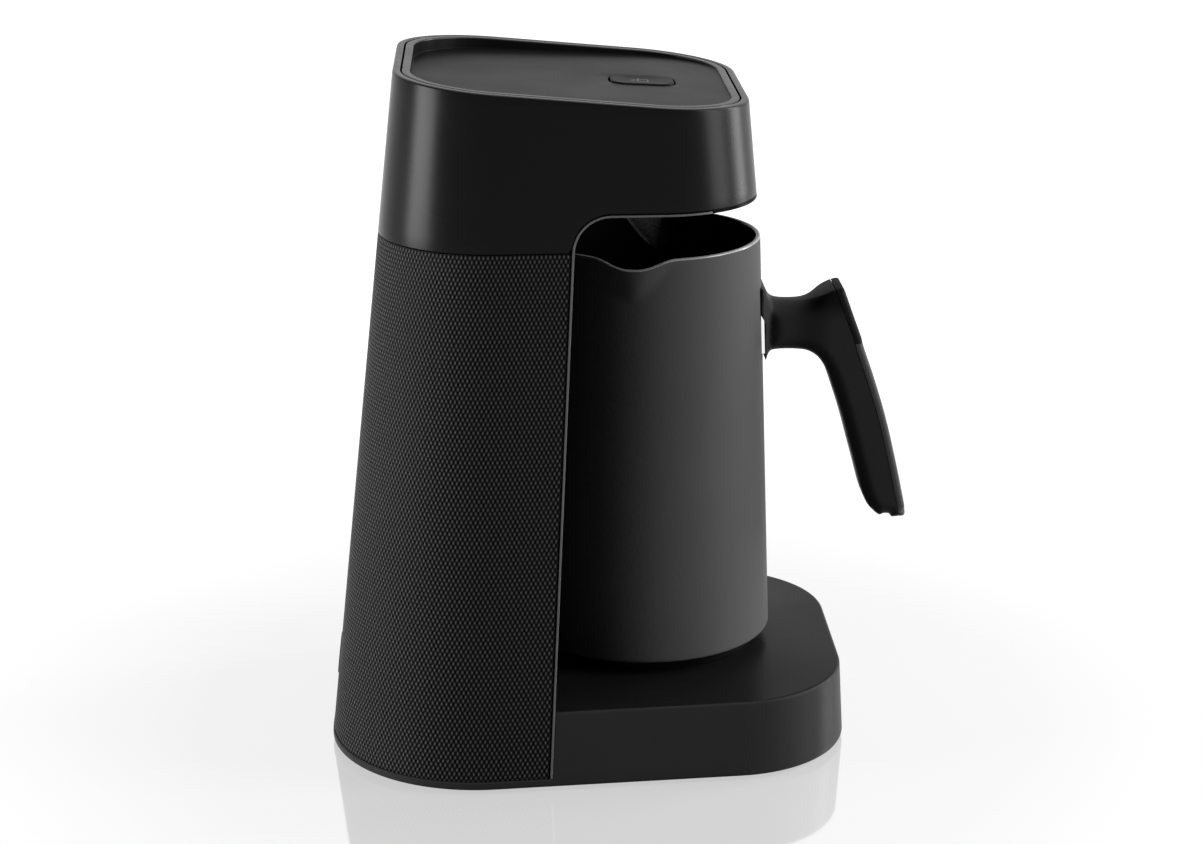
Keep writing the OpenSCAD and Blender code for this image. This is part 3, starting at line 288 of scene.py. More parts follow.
def make_piece(name, verts, faces, looks, body, node, uvs=None, merge=0.002, sharp=35.0,
               places=None):
    """Builds one mesh from points in millimetres round the pot's axis, to stand for a CAD node.

    looks are its materials, and places say which of them each face has. Points nearer than merge
    become one, and edges that turn by more than sharp degrees stay sharp.
    """
    mesh = bpy.data.meshes.new(name)
    mesh.from_pydata([(x * MM, (y + POT_Y) * MM, z * MM) for x, y, z in verts], [], faces)
    if uvs is not None:
        index = np.empty(len(mesh.loops), dtype=np.int32)
        mesh.loops.foreach_get("vertex_index", index)
        flat = np.asarray(uvs, dtype=np.float32)[index].ravel()
        mesh.uv_layers.new(name="knit").data.foreach_set("uv", flat)
    piece = new_object(name, mesh)
    for material in looks:
        mesh.materials.append(material)
    work = bmesh.new()
    work.from_mesh(mesh)
    if places is not None:
        work.faces.ensure_lookup_table()
        for face, place in zip(work.faces, places):
            face.material_index = place
    if merge:
        bmesh.ops.remove_doubles(work, verts=work.verts, dist=merge * MM)
    bmesh.ops.dissolve_degenerate(work, edges=work.edges, dist=1e-7)
    bmesh.ops.recalc_face_normals(work, faces=work.faces)
    limit = radians(sharp)
    for face in work.faces:
        face.smooth = True
    for edge in work.edges:
        edge.smooth = len(edge.link_faces) == 2 and edge.calc_face_angle(0.0) < limit
    work.to_mesh(mesh)
    work.free()
    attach(piece, body)
    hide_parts(node)
    return piece


def cut_away(piece, low, high, sides=0):
    """Takes the block between two corners out of a piece, or the upright rod in that block."""
    mesh = bpy.data.meshes.new("cutter")
    work = bmesh.new()
    if sides:
        bmesh.ops.create_cone(work, cap_ends=True, segments=sides, radius1=0.5, radius2=0.5,
                              depth=1.0)
    else:
        bmesh.ops.create_cube(work, size=1.0)
    for v in work.verts:
        v.co = [((low[k] + high[k]) / 2 + v.co[k] * (high[k] - low[k])) * MM for k in range(3)]
        v.co.y += POT_Y * MM
    work.to_mesh(mesh)
    work.free()
    cutter = new_object("cutter", mesh)
    mod = piece.modifiers.new("cut", "BOOLEAN")
    mod.operation, mod.solver, mod.object = "DIFFERENCE", "EXACT", cutter
    depsgraph = bpy.context.evaluated_depsgraph_get()
    made = bpy.data.meshes.new_from_object(piece.evaluated_get(depsgraph))
    piece.modifiers.clear()
    piece.data = made
    bpy.data.objects.remove(cutter)


def grid_faces(rows, cols, wrap_rows=False, wrap_cols=False, start=0):
    faces = []
    for i in range(rows if wrap_rows else rows - 1):
        for j in range(cols if wrap_cols else cols - 1):
            a, d, k = start + i * cols, start + (i + 1) % rows * cols, (j + 1) % cols
            faces.append((a + j, a + k, d + k, d + j))
    return faces


def closed_loops(rows):
    """Joins rows of points, each a closed loop, into one closed tube of loops."""
    return np.vstack(rows), grid_faces(len(rows), len(rows[0]), wrap_rows=True, wrap_cols=True)


def capped_tube(rows, low, high):
    """Joins rows of points, each a closed loop, into a tube, with a point to close each end."""
    cols = len(rows[0])
    last = (len(rows) - 1) * cols
    faces = grid_faces(len(rows), cols, wrap_cols=True)
    faces += [((j + 1) % cols, j, last + cols) for j in range(cols)]
    faces += [(last + j, last + (j + 1) % cols, last + cols + 1) for j in range(cols)]
    return np.vstack(rows + [[low], [high]]), faces


def ring(turns, reach, z):
    """Points round the pot's axis; reach and z are the same all round or each direction's own."""
    level = np.broadcast_to(z, turns.shape)
    return np.column_stack((reach * np.cos(turns), reach * np.sin(turns), level))


def fillet(r, steps):
    """(inset, height) pairs of a quarter round, from an underside to a wall."""
    t = [pi / 2 * i / steps for i in range(steps + 1)]
    return [(r * (1 - sin(a)), r * (1 - cos(a))) for a in t]


def top_fillet(r, steps):
    """(inset, depth) pairs of a quarter round, from a wall to a top."""
    return [(inset, depth) for depth, inset in fillet(r, steps)]


def resample(points, count):
    """Points at even steps along a polyline, and its length."""
    steps = np.linalg.norm(np.diff(points, axis=0), axis=1)
    place = np.concatenate(([0.0], np.cumsum(steps)))
    at = np.linspace(0, place[-1], count)
    return np.column_stack([np.interp(at, place, column) for column in points.T]), place[-1]


def left_of(ahead):
    """Unit normals on the left of directions in a plane."""
    ahead = ahead / np.linalg.norm(ahead, axis=1)[:, None]
    return np.column_stack((-ahead[:, 1], ahead[:, 0]))


# ---- The tower's outer wall: a ruled surface from the base's outline to the top's ----

ARC_STEPS, END_STEPS = 28, 10


def disc_loop(discs, side_shares):
    """Points and outward normals round the hull of four discs, from the front right."""
    angles = []
    for k in range(4):
        (x0, y0, r0), (x1, y1, r1) = discs[k], discs[(k + 1) % 4]
        span, along = hypot(x1 - x0, y1 - y0), atan2(y1 - y0, x1 - x0)
        angles.append(along - acos((r0 - r1) / span))
    ends = [i / END_STEPS for i in range(1, END_STEPS)]
    shares = [side_shares, ends, [1 - s for s in reversed(side_shares)], ends]
    points, normals = [], []
    for k in range(4):
        a, b = angles[k - 1], angles[k]
        while b < a:
            b += 2 * pi
        steps = [(0.0, a + (b - a) * i / ARC_STEPS) for i in range(ARC_STEPS + 1)]
        for share, angle in steps + [(s, b) for s in shares[k]]:
            x, y, r = (p + (q - p) * share for p, q in zip(discs[k], discs[(k + 1) % 4]))
            normals.append((cos(angle), sin(angle)))
            points.append((x + r * normals[-1][0], y + r * normals[-1][1]))
    return np.array(points), np.array(normals)


def four_discs(front_w, front_y, front_r, rear_w, rear_y, rear_r):
    fx, fy, rx, ry = front_w / 2 - front_r, front_r - front_y, rear_w / 2 - rear_r, rear_y - rear_r
    return [(fx, fy, front_r), (rx, ry, rear_r), (-rx, ry, rear_r), (-fx, fy, front_r)]


LOW_DISCS = four_discs(LOW_FRONT_W, LOW_FRONT, TOP_R, BASE_REAR_W, BASE_REAR, BASE_REAR_R)
HIGH_DISCS = four_discs(TOP_W, TOP_FRONT * SLOPE, TOP_R, TOP_W, TOP_REAR * SLOPE, TOP_R)


def top_points(points, level):
    """Points of the sloping top's own frame, at a level over it, as points over the pot's axis."""
    y = points[:, 1]
    return np.column_stack((points[:, 0], y * cos(TILT) - level * sin(TILT),
                            TOP_Z + y * sin(TILT) + level * cos(TILT)))


class Wall:
    """Points on the lines from the low loop to the sloping top loop, drawn in by an inset."""

    def __init__(self, side_shares):
        self.low, self.low_n = disc_loop(LOW_DISCS, side_shares)
        self.high, self.high_n = disc_loop(HIGH_DISCS, side_shares)
        self.count = len(self.low)

    def ends(self, inset):
        inset = np.broadcast_to(np.asarray(inset, float), (self.count,))[:, None]
        low = self.low - inset * self.low_n
        high = top_points(self.high - inset * self.high_n, 0.0)
        return np.column_stack((low, np.full(self.count, UNDERSIDE_Z))), high

    def at(self, z, inset=0.0):
        low, high = self.ends(inset)
        share = (z - low[:, 2]) / (high[:, 2] - low[:, 2])
        return low + (high - low) * share[:, None]

    def below_top(self, depth, inset=0.0):
        """Points a depth below the sloping top, measured square to it."""
        return self.at(self.ends(inset)[1][:, 2] - depth * SLOPE, inset)

    def normals(self, z):
        """The wall's outward directions at a level, seen from above."""
        share = (z - UNDERSIDE_Z) / (TOP_Z - UNDERSIDE_Z)
        return self.low_n * (1 - share) + self.high_n * share


def edge_y(z, grow=0.0):
    """The bay's rear edge behind the pot's axis at a level, with its round upper corner."""
    h = z - UNDERSIDE_Z
    base = EDGE_LOW + grow / cos(EDGE_LEAN)
    r = NICHE_CORNER_R + grow
    center_z = CEILING_H + grow - r
    center_y = base - (center_z * sin(EDGE_LEAN) + r) / cos(EDGE_LEAN)
    if h < center_z + r * sin(EDGE_LEAN):
        return base - h * tan(EDGE_LEAN)
    return center_y + sqrt(max(r * r - (h - center_z) ** 2, 0.0))


def corner_levels(grow, n):
    """Levels round the bay's upper corner, at even angles."""
    r = NICHE_CORNER_R + grow
    center = CEILING_H + grow - r + UNDERSIDE_Z
    return [center + r * sin(EDGE_LEAN + (pi / 2 - EDGE_LEAN) * i / n) for i in range(n + 1)]


def wall_shares():
    """Places along the wall's straight sides, with one at each step of the bay's round corner."""
    plain = Wall([0.0, 1.0])
    loop = plain.at(WRAP_TOP_Z + 6.0)
    front, rear = loop[ARC_STEPS, 1], loop[ARC_STEPS + 3, 1]
    ys = [edge_y(z, LINER_WALL) for z in corner_levels(LINER_WALL, 12)]
    ys += [ys[0] + 0.05, ys[0] + 1.0]
    low, high = min(ys), max(ys)
    ys += list(np.linspace(front, low, 8)[1:-1]) + list(np.linspace(high, rear, 12)[1:-1])
    return sorted((y - front) / (rear - front) for y in ys)


wall = Wall(wall_shares())


# ---- Head: the smooth upper shell, cut round the bay's upper corner ----

# The gap over the wrap, the edge's rounding there and at the bay, the top's, and the depth inside
HEAD_GAP, HEAD_EDGE, BAY_EDGE, HEAD_TOP_R, HEAD_DEPTH = 0.25, 0.35, 0.3, 0.7, 8.0
STRIP_BEVEL = 0.3


def make_head():
    roof = CEILING_Z + LINER_WALL
    (a, b), low, edge_r = wall.ends(0.0), np.empty(wall.count), np.full(wall.count, BAY_EDGE)

    def behind(i, z):
        """How far a line of the wall is behind the bay's edge at a level."""
        share = (z - a[i, 2]) / (b[i, 2] - a[i, 2])
        return a[i, 1] + (b[i, 1] - a[i, 1]) * share - edge_y(z, LINER_WALL)
    for i in range(wall.count):
        if behind(i, WRAP_TOP_Z) >= 0:
            low[i], edge_r[i] = WRAP_TOP_Z + HEAD_GAP, HEAD_EDGE
        elif behind(i, roof - 1e-6) < 0:
            low[i] = roof
        else:
            z0, z1 = WRAP_TOP_Z, roof
            for _ in range(40):
                mid = (z0 + z1) / 2
                z0, z1 = (z0, mid) if behind(i, mid) >= 0 else (mid, z1)
            low[i] = (z0 + z1) / 2
    rows = [wall.at(low, SHELL_WALL)]
    rows += [wall.at(low + edge_r * rise, edge_r * share) for share, rise in fillet(1.0, 4)]
    start, end = low + edge_r, b[:, 2] - HEAD_TOP_R * SLOPE
    rows += [wall.at(start + (end - start) * share) for share in np.linspace(0, 1, 12)[1:-1]]
    rows += [wall.below_top(depth, inset) for inset, depth in top_fillet(HEAD_TOP_R, 5)]
    strip = len(rows) - 4
    for inset, depth in ((1, 0), (0.3, 0.3), (0, 1), (0, HEAD_DEPTH / STRIP_BEVEL)):
        rows.append(wall.below_top(STRIP_BEVEL * depth, SHELL_WALL - STRIP_BEVEL * inset))
    verts, faces = closed_loops(rows)
    # The top's edge rounding and the strip inside it take the lighter black that paints their
    # highlight
    places = [int(strip <= i // wall.count <= strip + 5) for i in range(len(faces))]
    make_piece("head_shell", verts, faces, [satin, strip_painted_highlight], "machine",
               "upper_shell", sharp=40, places=places)


make_head()


# ---- Wrap: the panel with its fine mesh, round the tower's sides and rear ----

KNIT_ACROSS, KNIT_ALONG = 1.55, 1.45
# Depths below the wall: a dimple, between dimples, the plain border, the side ends, top and bottom
KNIT_DEPTH, KNOT_DEPTH, BORDER_DEPTH, SIDE_DEPTH, END_DEPTH = 0.36, 0.02, 0.08, 0.3, 0.4
BORDER_ROWS, WRAP_BACK_COLS, WRAP_BACK_ROWS = 2, 120, 5
WRAP_LOW, WRAP_HIGH, WRAP_GROW = BAND_Z + 0.25, WRAP_TOP_Z - 0.1, LINER_WALL + 0.1


def wrap_row(z, inset, count):
    """Points and normals round the tower at a level, from the bay's right edge to its left."""
    row = np.column_stack((wall.at(z, inset)[:, :2], wall.normals(z)))
    edge = edge_y(z, WRAP_GROW)
    start = next(i for i in range(wall.count) if row[i, 0] > 0 and row[i, 1] > edge)
    stop = max(i for i in range(wall.count) if row[i, 0] < 0 and row[i, 1] > edge)

    def meet(a, b):
        t = (edge - row[a, 1]) / (row[b, 1] - row[a, 1])
        return row[a] + (row[b] - row[a]) * t
    line = np.vstack([meet(start - 1, start), row[start:stop + 1], meet(stop, stop + 1)])
    return resample(line, count)


def make_wrap():
    girth = wrap_row((WRAP_LOW + WRAP_HIGH) / 2, 0.0, 200)[1]
    cols = 2 * int(girth / KNIT_ACROSS) + 1
    half_rows = int((WRAP_HIGH - WRAP_LOW) / KNIT_ALONG * 2)
    k, verts, uvs = np.arange(cols), [], []
    for j, z in enumerate(np.linspace(WRAP_LOW, WRAP_HIGH, half_rows + 1)):
        row = wrap_row(z, 0.0, cols)[0]
        border = (j < BORDER_ROWS) | (j > half_rows - BORDER_ROWS) | (k < 1) | (k > cols - 2)
        pit = (j % 2 == 0) & ((k + j // 2) % 2 == 0)
        depth = np.where(border, BORDER_DEPTH, np.where(pit, KNIT_DEPTH, KNOT_DEPTH))
        if j in (0, half_rows):
            depth[:] = END_DEPTH
        depth[[0, -1]] = np.maximum(depth[[0, -1]], SIDE_DEPTH)
        verts += list(np.column_stack((row[:, :2] - row[:, 2:] * depth[:, None], np.full(cols, z))))
        uvs += list(np.column_stack((k / 2.0, np.full(cols, j / 2.0))))
    rows, base = half_rows + 1, len(verts)
    faces = grid_faces(rows, cols)
    n, m = WRAP_BACK_ROWS, WRAP_BACK_COLS
    for z in np.linspace(WRAP_LOW, WRAP_HIGH, n):
        verts += [(x, y, z) for x, y in wrap_row(z, WRAP_WALL, m)[0][:, :2]]
        uvs += [(0.25, 0.5)] * m
    faces += [tuple(reversed(f)) for f in grid_faces(n, m, start=base)]
    for at, back_at in ((0, 0), (cols - 1, m - 1)):
        side = [i * cols + at for i in range(rows)]
        faces.append(tuple(side + [base + i * m + back_at for i in reversed(range(n))]))
    for first, back in ((0, base), ((rows - 1) * cols, base + (n - 1) * m)):
        stops = [round(i * (cols - 1) / (m - 1)) for i in range(m)]
        for i, (start, stop) in enumerate(zip(stops, stops[1:])):
            faces.append((back + i + 1, back + i, *range(first + start, first + stop + 1)))
    make_piece("knit_wrap", verts, faces, [knit_mat], "machine", "knit_panel",
               uvs=uvs, merge=0, sharp=50)


make_wrap()


# ---- Niche liner: cheeks, round niche, upper corner and ceiling as one skin ----

CHEEK, TURN, BACK, TURN_R = 6, 5, 40, 1.8
# The liner's edge: places across its wall with their depths, how far its two faces stand back, and
# how far forward its edge carries a painted highlight
BEAD = ((0.03, 0.06), (0.10, 0.0), (0.60, 0.0), (0.70, 0.10))
BEAD_NEAR, BEAD_FAR, BEAD_FRONT = 0.35, 0.12, -19.0
# Openings: the socket's window in the niche, and the sensor's round hole in the ceiling
SOCKET_LOW, SOCKET_HIGH = (-13.0, 30, 39.5), (13.0, 60, 50.5)
SENSOR_LOW, SENSOR_HIGH = (-5.2, -5.2, CEILING_Z - 3), (5.2, 5.2, CEILING_Z + 5)


def wall_half(y, z):
    """The wall's half width at a place behind the pot's axis and a level."""
    side = wall.at(z)
    side = side[side[:, 0] > 0]
    side = side[np.argsort(side[:, 1])]
    return float(np.interp(y, side[:, 1], side[:, 0]))


def niche_row(z, grow, level):
    """Points along the niche's wall, from the right side to the left, put at a level."""
    ye, r, turn_r = edge_y(z, grow), NICHE_R + grow, TURN_R - grow
    half = wall_half(ye, level)
    cy = ye + turn_r
    cx = sqrt((r + turn_r) ** 2 - cy ** 2)
    reach = atan2(cx, cy)
    right = [(half + (cx - half) * i / CHEEK, ye) for i in range(CHEEK)]
    for i in range(TURN + 1):
        a = pi * 1.5 - reach * i / TURN
        right.append((cx + turn_r * cos(a), cy + turn_r * sin(a)))
    turns = [reach - 2 * reach * i / BACK for i in range(1, BACK)]
    row = right + [(r * sin(t), r * cos(t)) for t in turns]
    return np.array([(x, y, level) for x, y in row + [(-x, y) for x, y in reversed(right)]])


def liner_skin(grow):
    """Rows of points up the niche and forward along the ceiling, and the wall's normal at each."""
    corner = corner_levels(grow, 10)
    levels = [*np.linspace(SEAT_Z, corner[0] - 0.4, 16), *corner]
    rows = [niche_row(z, grow, z) for z in levels]
    normals = [(1.0, 0.0)] * len(rows)
    last, loop, loop_n = rows[-1], wall.at(CEILING_Z + grow), wall.normals(CEILING_Z + grow)
    side_y, half, front_y = last[0, 1], last[0, 0], loop[0, 1]
    for i in reversed([i for i in range(wall.count // 4) if loop[i, 1] < side_y - 1.0]):
        row = last.copy()
        row[:, 0] *= loop[i, 0] / half
        row[:, 1] += (side_y - loop[i, 1]) / (side_y - front_y) * (front_y - row[:, 1])
        rows.append(row)
        normals.append(tuple(loop_n[i]))
    return np.array(rows), normals


def make_liner():
    inner, normals = liner_skin(0.0)
    outer = liner_skin(LINER_WALL)[0]
    rows, cols = inner.shape[:2]
    verts, faces = [], []

    def put(p):
        verts.append(tuple(p))
        return len(verts) - 1

    def outward(s, j):
        if s == rows - 1 and 0 < j < cols - 1:
            return np.array((0.0, -1.0, 0.0))
        n = np.array((normals[s][0] * (-1 if j == cols - 1 else 1), normals[s][1], 0.0))
        return n / np.linalg.norm(n)
    border = [(s, 0) for s in range(rows)] + [(rows - 1, j) for j in range(1, cols)]
    border += [(s, cols - 1) for s in reversed(range(rows - 1))]
    near, far, beads = np.empty((rows, cols), int), np.empty((rows, cols), int), {}
    for s in range(rows):
        for j in range(cols):
            a, b = inner[s, j], outer[s, j]
            if (s, j) in border:
                n = outward(s, j)
                near[s, j], far[s, j] = put(a - BEAD_NEAR * n), put(b - BEAD_FAR * n)
                bead = [put(a + (b - a) * t - d * n) for t, d in BEAD]
                beads[s, j] = [near[s, j]] + bead + [far[s, j]]
            else:
                near[s, j], far[s, j] = put(a), put(b)
    for s in range(rows - 1):
        for j in range(cols - 1):
            faces.append((near[s, j], near[s, j + 1], near[s + 1, j + 1], near[s + 1, j]))
            faces.append((far[s, j + 1], far[s, j], far[s + 1, j], far[s + 1, j + 1]))
    places = [0] * len(faces)
    for p, q in zip(border, border[1:]):
        for k in range(len(BEAD) + 1):
            faces.append((beads[p][k], beads[q][k], beads[q][k + 1], beads[p][k + 1]))
            # The bead's middle faces, behind BEAD_FRONT, get the light colour: a painted highlight
            places.append(int(k in (1, 2) and verts[beads[p][k]][1] > BEAD_FRONT))
    for j in range(cols - 1):
        faces.append((near[0, j], far[0, j], far[0, j + 1], near[0, j + 1]))
    faces += [tuple(beads[0, 0]), tuple(reversed(beads[0, cols - 1]))]
    places += [0] * (len(faces) - len(places))
    piece = make_piece("niche_skin", verts, faces, [gloss, bead_painted_highlight], "machine",
                       "niche_liner", sharp=30, places=places)
    cut_away(piece, SOCKET_LOW, SOCKET_HIGH)
    cut_away(piece, SENSOR_LOW, SENSOR_HIGH, sides=64)


make_liner()


# ---- Base: the deck under the pot with its crown, and the plain band under the tower ----

BASE_ANGLES = np.linspace(-pi, pi, 721)[:-1]
BASE_SHARES = [i / 24 for i in range(1, 24)]
BASE_STEPS, DECK_MIDDLE_H, SKIN_HALF = 3000, 14.5, 0.5
DECK_REACH = EDGE_LOW - DECK_MIDDLE_H * tan(EDGE_LEAN) + SKIN_HALF
# The lower edge's rounding, the inside's inset there, and the level of the step under the wrap
FOOT_EDGE, FOOT_RING, HIDDEN_Z = 1.2, 4.4, 6.2
# The crown's reach where it is full, its flat middle, and how far its slope swells into an S
CROWN_R, CROWN_FLAT_R, CROWN_SWELL, NOWHERE = 40.0, 20.0, 0.06, 1e6


def base_reach(z, inset):
    """How far the base's side is from the pot's axis in each direction, drawn in by an inset."""
    share = min(max((z - UNDERSIDE_Z) / (PLATE_Z - BASE_EDGE - UNDERSIDE_Z), 0.0), 1.0)
    inset = inset + BASE_DRAFT * share
    discs = four_discs(BASE_FRONT_W, BASE_FRONT, BASE_FRONT_R, BASE_REAR_W, BASE_REAR, BASE_REAR_R)
    points = disc_loop([(x, y, r - inset) for x, y, r in discs], BASE_SHARES)[0]
    points = resample(np.vstack([points, points[:1]]), BASE_STEPS)[0][:-1]
    turn = np.unwrap(np.arctan2(points[:, 1], points[:, 0]))
    turns = np.concatenate((turn - 2 * pi, turn, turn + 2 * pi))
    return np.interp(BASE_ANGLES, turns, np.tile(np.hypot(points[:, 0], points[:, 1]), 3))


def make_base():
    rows, sine = [], np.sin(BASE_ANGLES)

    def row(reach, z):
        rows.append(ring(BASE_ANGLES, reach, z))
    # Where the deck stops: half way into the liner's cheeks and round niche
    back = np.full(len(BASE_ANGLES), NOWHERE)
    rear = sine > 0.02
    back[rear] = np.maximum(DECK_REACH / sine[rear], NICHE_R + SKIN_HALF)
    row(base_reach(UNDERSIDE_Z, FOOT_RING), SEAT_Z)
    row(base_reach(UNDERSIDE_Z, FOOT_RING), UNDERSIDE_Z)
    for inset, rise in fillet(FOOT_EDGE, 4):
        row(base_reach(UNDERSIDE_Z + rise, inset), UNDERSIDE_Z + rise)
    side = base_reach(BAND_Z, 0.0)
    front = back >= side - 1e-6
    under_wrap = np.minimum(base_reach(BAND_Z, WRAP_WALL + 0.2), back)
    row(base_reach(BAND_Z - 0.3, 0.0), BAND_Z - 0.3)
    row(np.where(front, side, base_reach(BAND_Z, 0.3)), BAND_Z)
    row(np.where(front, side, under_wrap), BAND_Z + 0.05)
    row(np.where(front, base_reach(HIDDEN_Z, 0.0), under_wrap), HIDDEN_Z)
    for z in (HIDDEN_Z + 0.05, 12.0, 20.0, PLATE_Z - BASE_EDGE):
        row(np.minimum(base_reach(z, 0.0), back), z)
    for inset, depth in top_fillet(BASE_EDGE, 6)[1:]:
        row(np.minimum(base_reach(PLATE_Z - BASE_EDGE, inset), back), PLATE_Z - depth)
    edge = base_reach(PLATE_Z, BASE_EDGE)
    outer = np.minimum(edge, back)
    for share in (0.01, 0.1, 0.25, 0.4, 0.55, 0.7, 0.85, 1.0):
        reach = outer + (CROWN_R - outer) * share
        rise = 1 - np.clip((reach - CROWN_R) / (edge - CROWN_R), 0.0, 1.0)
        row(reach, PLATE_Z + (CROWN_Z - PLATE_Z) * (rise - CROWN_SWELL * np.sin(pi * 2 * rise)))
    row(CROWN_FLAT_R, CROWN_Z)
    verts, faces = capped_tube(rows, (0, 0, SEAT_Z), (0, 0, CROWN_Z))
    # Faces of the base's top get the darker copy of its black: painted shade
    places = [int(min(verts[i][2] for i in face) > PLATE_Z - 0.2) for face in faces]
    make_piece("base_deck", verts, faces, [deck_mat, base_top_painted_shade], "machine",
               "base_shell", merge=0.004, sharp=32, places=places)


make_base()


# ---- Top: the recessed panel with its raised frame, and the start button ----

PANEL_IN, FRAME_W, PANEL_DROP, PANEL_T, PANEL_LEAN = 3.1, 2.8, 1.8, 2.2, 0.036
FRAME_EDGE, PANEL_COVE, PANEL_LIP, PANEL_DEPTH, LOOP_ARC, LOOP_SIDE = 0.4, 0.5, 0.4, 9.0, 28, 12
BUTTON_L, BUTTON_W, BUTTON_R, BUTTON_Y, BUTTON_GAP = 21.8, 16.4, 5.6, 1.2, 0.55
BUTTON_TOP, BUTTON_STEP, STEM_R, STEM_LOW = -1.4, -4.3, 2.5, -11.1
BUTTON_EDGE, BUTTON_DISH = 0.6, 0.35
# Under the key's face: each ring of its flange, as its reach past the face and its level
FLANGE = ((1.0, -5.5), (1.2, -5.3), (1.2, -4.5), (1.0, BUTTON_STEP), (0.0, BUTTON_STEP))
BUTTON_MIDDLE = np.array((0.0, BUTTON_Y))


def rounded_loop(half_w, front, rear, r):
    """A rounded rectangle between two places on Y, from the front right."""
    x, low, high = half_w - r, front + r, rear - r
    arcs = []
    for k, corner in enumerate(((x, low), (x, high), (-x, high), (-x, low))):
        t = np.radians(np.linspace(90 * k - 90, 90 * k, LOOP_ARC + 1))
        arcs.append(np.array(corner) + r * np.column_stack((np.cos(t), np.sin(t))))
    shares = np.arange(1, LOOP_SIDE)[:, None] / LOOP_SIDE
    sides = [p[-1] + (q[0] - p[-1]) * shares for p, q in zip(arcs, arcs[1:] + arcs[:1])]
    return np.vstack([part for pair in zip(arcs, sides) for part in pair])


def top_loop(inset):
    front, rear = inset - TOP_FRONT * SLOPE, TOP_REAR * SLOPE - inset
    return rounded_loop(TOP_W / 2 - inset, front, rear, TOP_R - inset)


def button_loop(grow):
    reach = BUTTON_L / 2 + grow
    return rounded_loop(BUTTON_W / 2 + grow, BUTTON_Y - reach, BUTTON_Y + reach, BUTTON_R + grow)


def button_ring(r):
    """A circle round the button's axis, with as many points as its outline."""
    loop = button_loop(0.0) - BUTTON_MIDDLE
    return loop / np.linalg.norm(loop, axis=1)[:, None] * r + BUTTON_MIDDLE


def panel_depth(points):
    """How deep the panel lies in its frame; it slopes less, so it is deeper at the rear."""
    return np.maximum(PANEL_DROP + PANEL_LEAN * (points[:, 1] - BUTTON_Y), 0.6)


def make_panel():
    inner = PANEL_IN + FRAME_W
    frame_edge = top_fillet(FRAME_EDGE, 4)
    rows = [top_points(top_loop(PANEL_IN), -PANEL_DEPTH)]
    rows += [top_points(top_loop(PANEL_IN + i), -d) for i, d in frame_edge]
    rows += [top_points(top_loop(inner - i), -d) for i, d in reversed(frame_edge)]
    frame_rows = len(rows) - 1
    for i, d in top_fillet(PANEL_COVE, 5):
        loop = top_loop(inner + i)
        rows.append(top_points(loop, d - panel_depth(loop)))
    outer, hole = top_loop(inner + PANEL_COVE), button_loop(BUTTON_GAP + PANEL_LIP)
    for t in np.linspace(0, 1, 12)[1:]:
        loop = outer + (hole - outer) * t
        rows.append(top_points(loop, -panel_depth(loop)))
    for i, d in reversed(top_fillet(PANEL_LIP, 4)[:-1]):
        loop = button_loop(BUTTON_GAP + i)
        rows.append(top_points(loop, -panel_depth(loop) - d))
    rows.append(top_points(button_loop(BUTTON_GAP), -PANEL_DROP - PANEL_T))
    loop = top_loop(PANEL_IN + 1.5)
    rows.append(top_points(loop, -np.maximum(PANEL_DROP + PANEL_T, panel_depth(loop) + 1.0)))
    rows.append(top_points(loop, -PANEL_DEPTH))
    verts, faces = closed_loops(rows)
    # The frame takes the lighter black that paints its highlight
    places = [int(i // len(rows[0]) < frame_rows) for i in range(len(faces))]
    make_piece("top_frame", verts, faces, [panel_mat, strip_painted_highlight], "machine",
               "top_panel", sharp=32, places=places)


make_panel()


def crown_points(points, depth):
    """Points of the key's face, a depth below its edge; the face leans as the panel does."""
    return top_points(points, PANEL_DROP + BUTTON_TOP - panel_depth(points) - depth)


def make_button():
    rows = [top_points(button_ring(STEM_R), z) for z in (STEM_LOW, FLANGE[0][1])]
    rows += [top_points(button_loop(grow), z) for grow, z in FLANGE]
    rows += [crown_points(button_loop(-i), d) for i, d in top_fillet(BUTTON_EDGE, 5)]
    crest = button_loop(-BUTTON_EDGE - 0.3)
    for t in (0.0, 0.06, 0.14, 0.24, 0.36, 0.5, 0.66, 0.82, 0.94):
        dish = BUTTON_DISH * (1 - (1 - t) ** 2)
        rows.append(crown_points(crest + (BUTTON_MIDDLE - crest) * t, dish))
    middle = BUTTON_MIDDLE[None]
    ends = top_points(middle, STEM_LOW)[0], crown_points(middle, BUTTON_DISH)[0]
    verts, faces = capped_tube(rows, *ends)
    make_piece("start_key", verts, faces, [key_mat], "button",
               "start_button", sharp=32)


make_button()

# Printed mark: a small coffee pot with its long handle and two wisps of steam
MARK_POT = [(-2.4, 1.4), (1.8, 1.4), (1.3, 0.5), (2.0, -1.4), (1.5, -2.0), (-2.1, -2.0),
            (-2.6, -1.4), (-1.9, 0.5), (-2.4, 1.4)]
MARK_HANDLE = [(1.7, 0.8), (3.0, 1.35), (4.6, 2.1)]
MARK_WISP = [(-1.1, 2.2), (-0.8, 2.6), (-1.1, 3.0), (-1.4, 3.4), (-1.1, 3.8)]
MARK_HALF, MARK_T = 0.22, 0.08


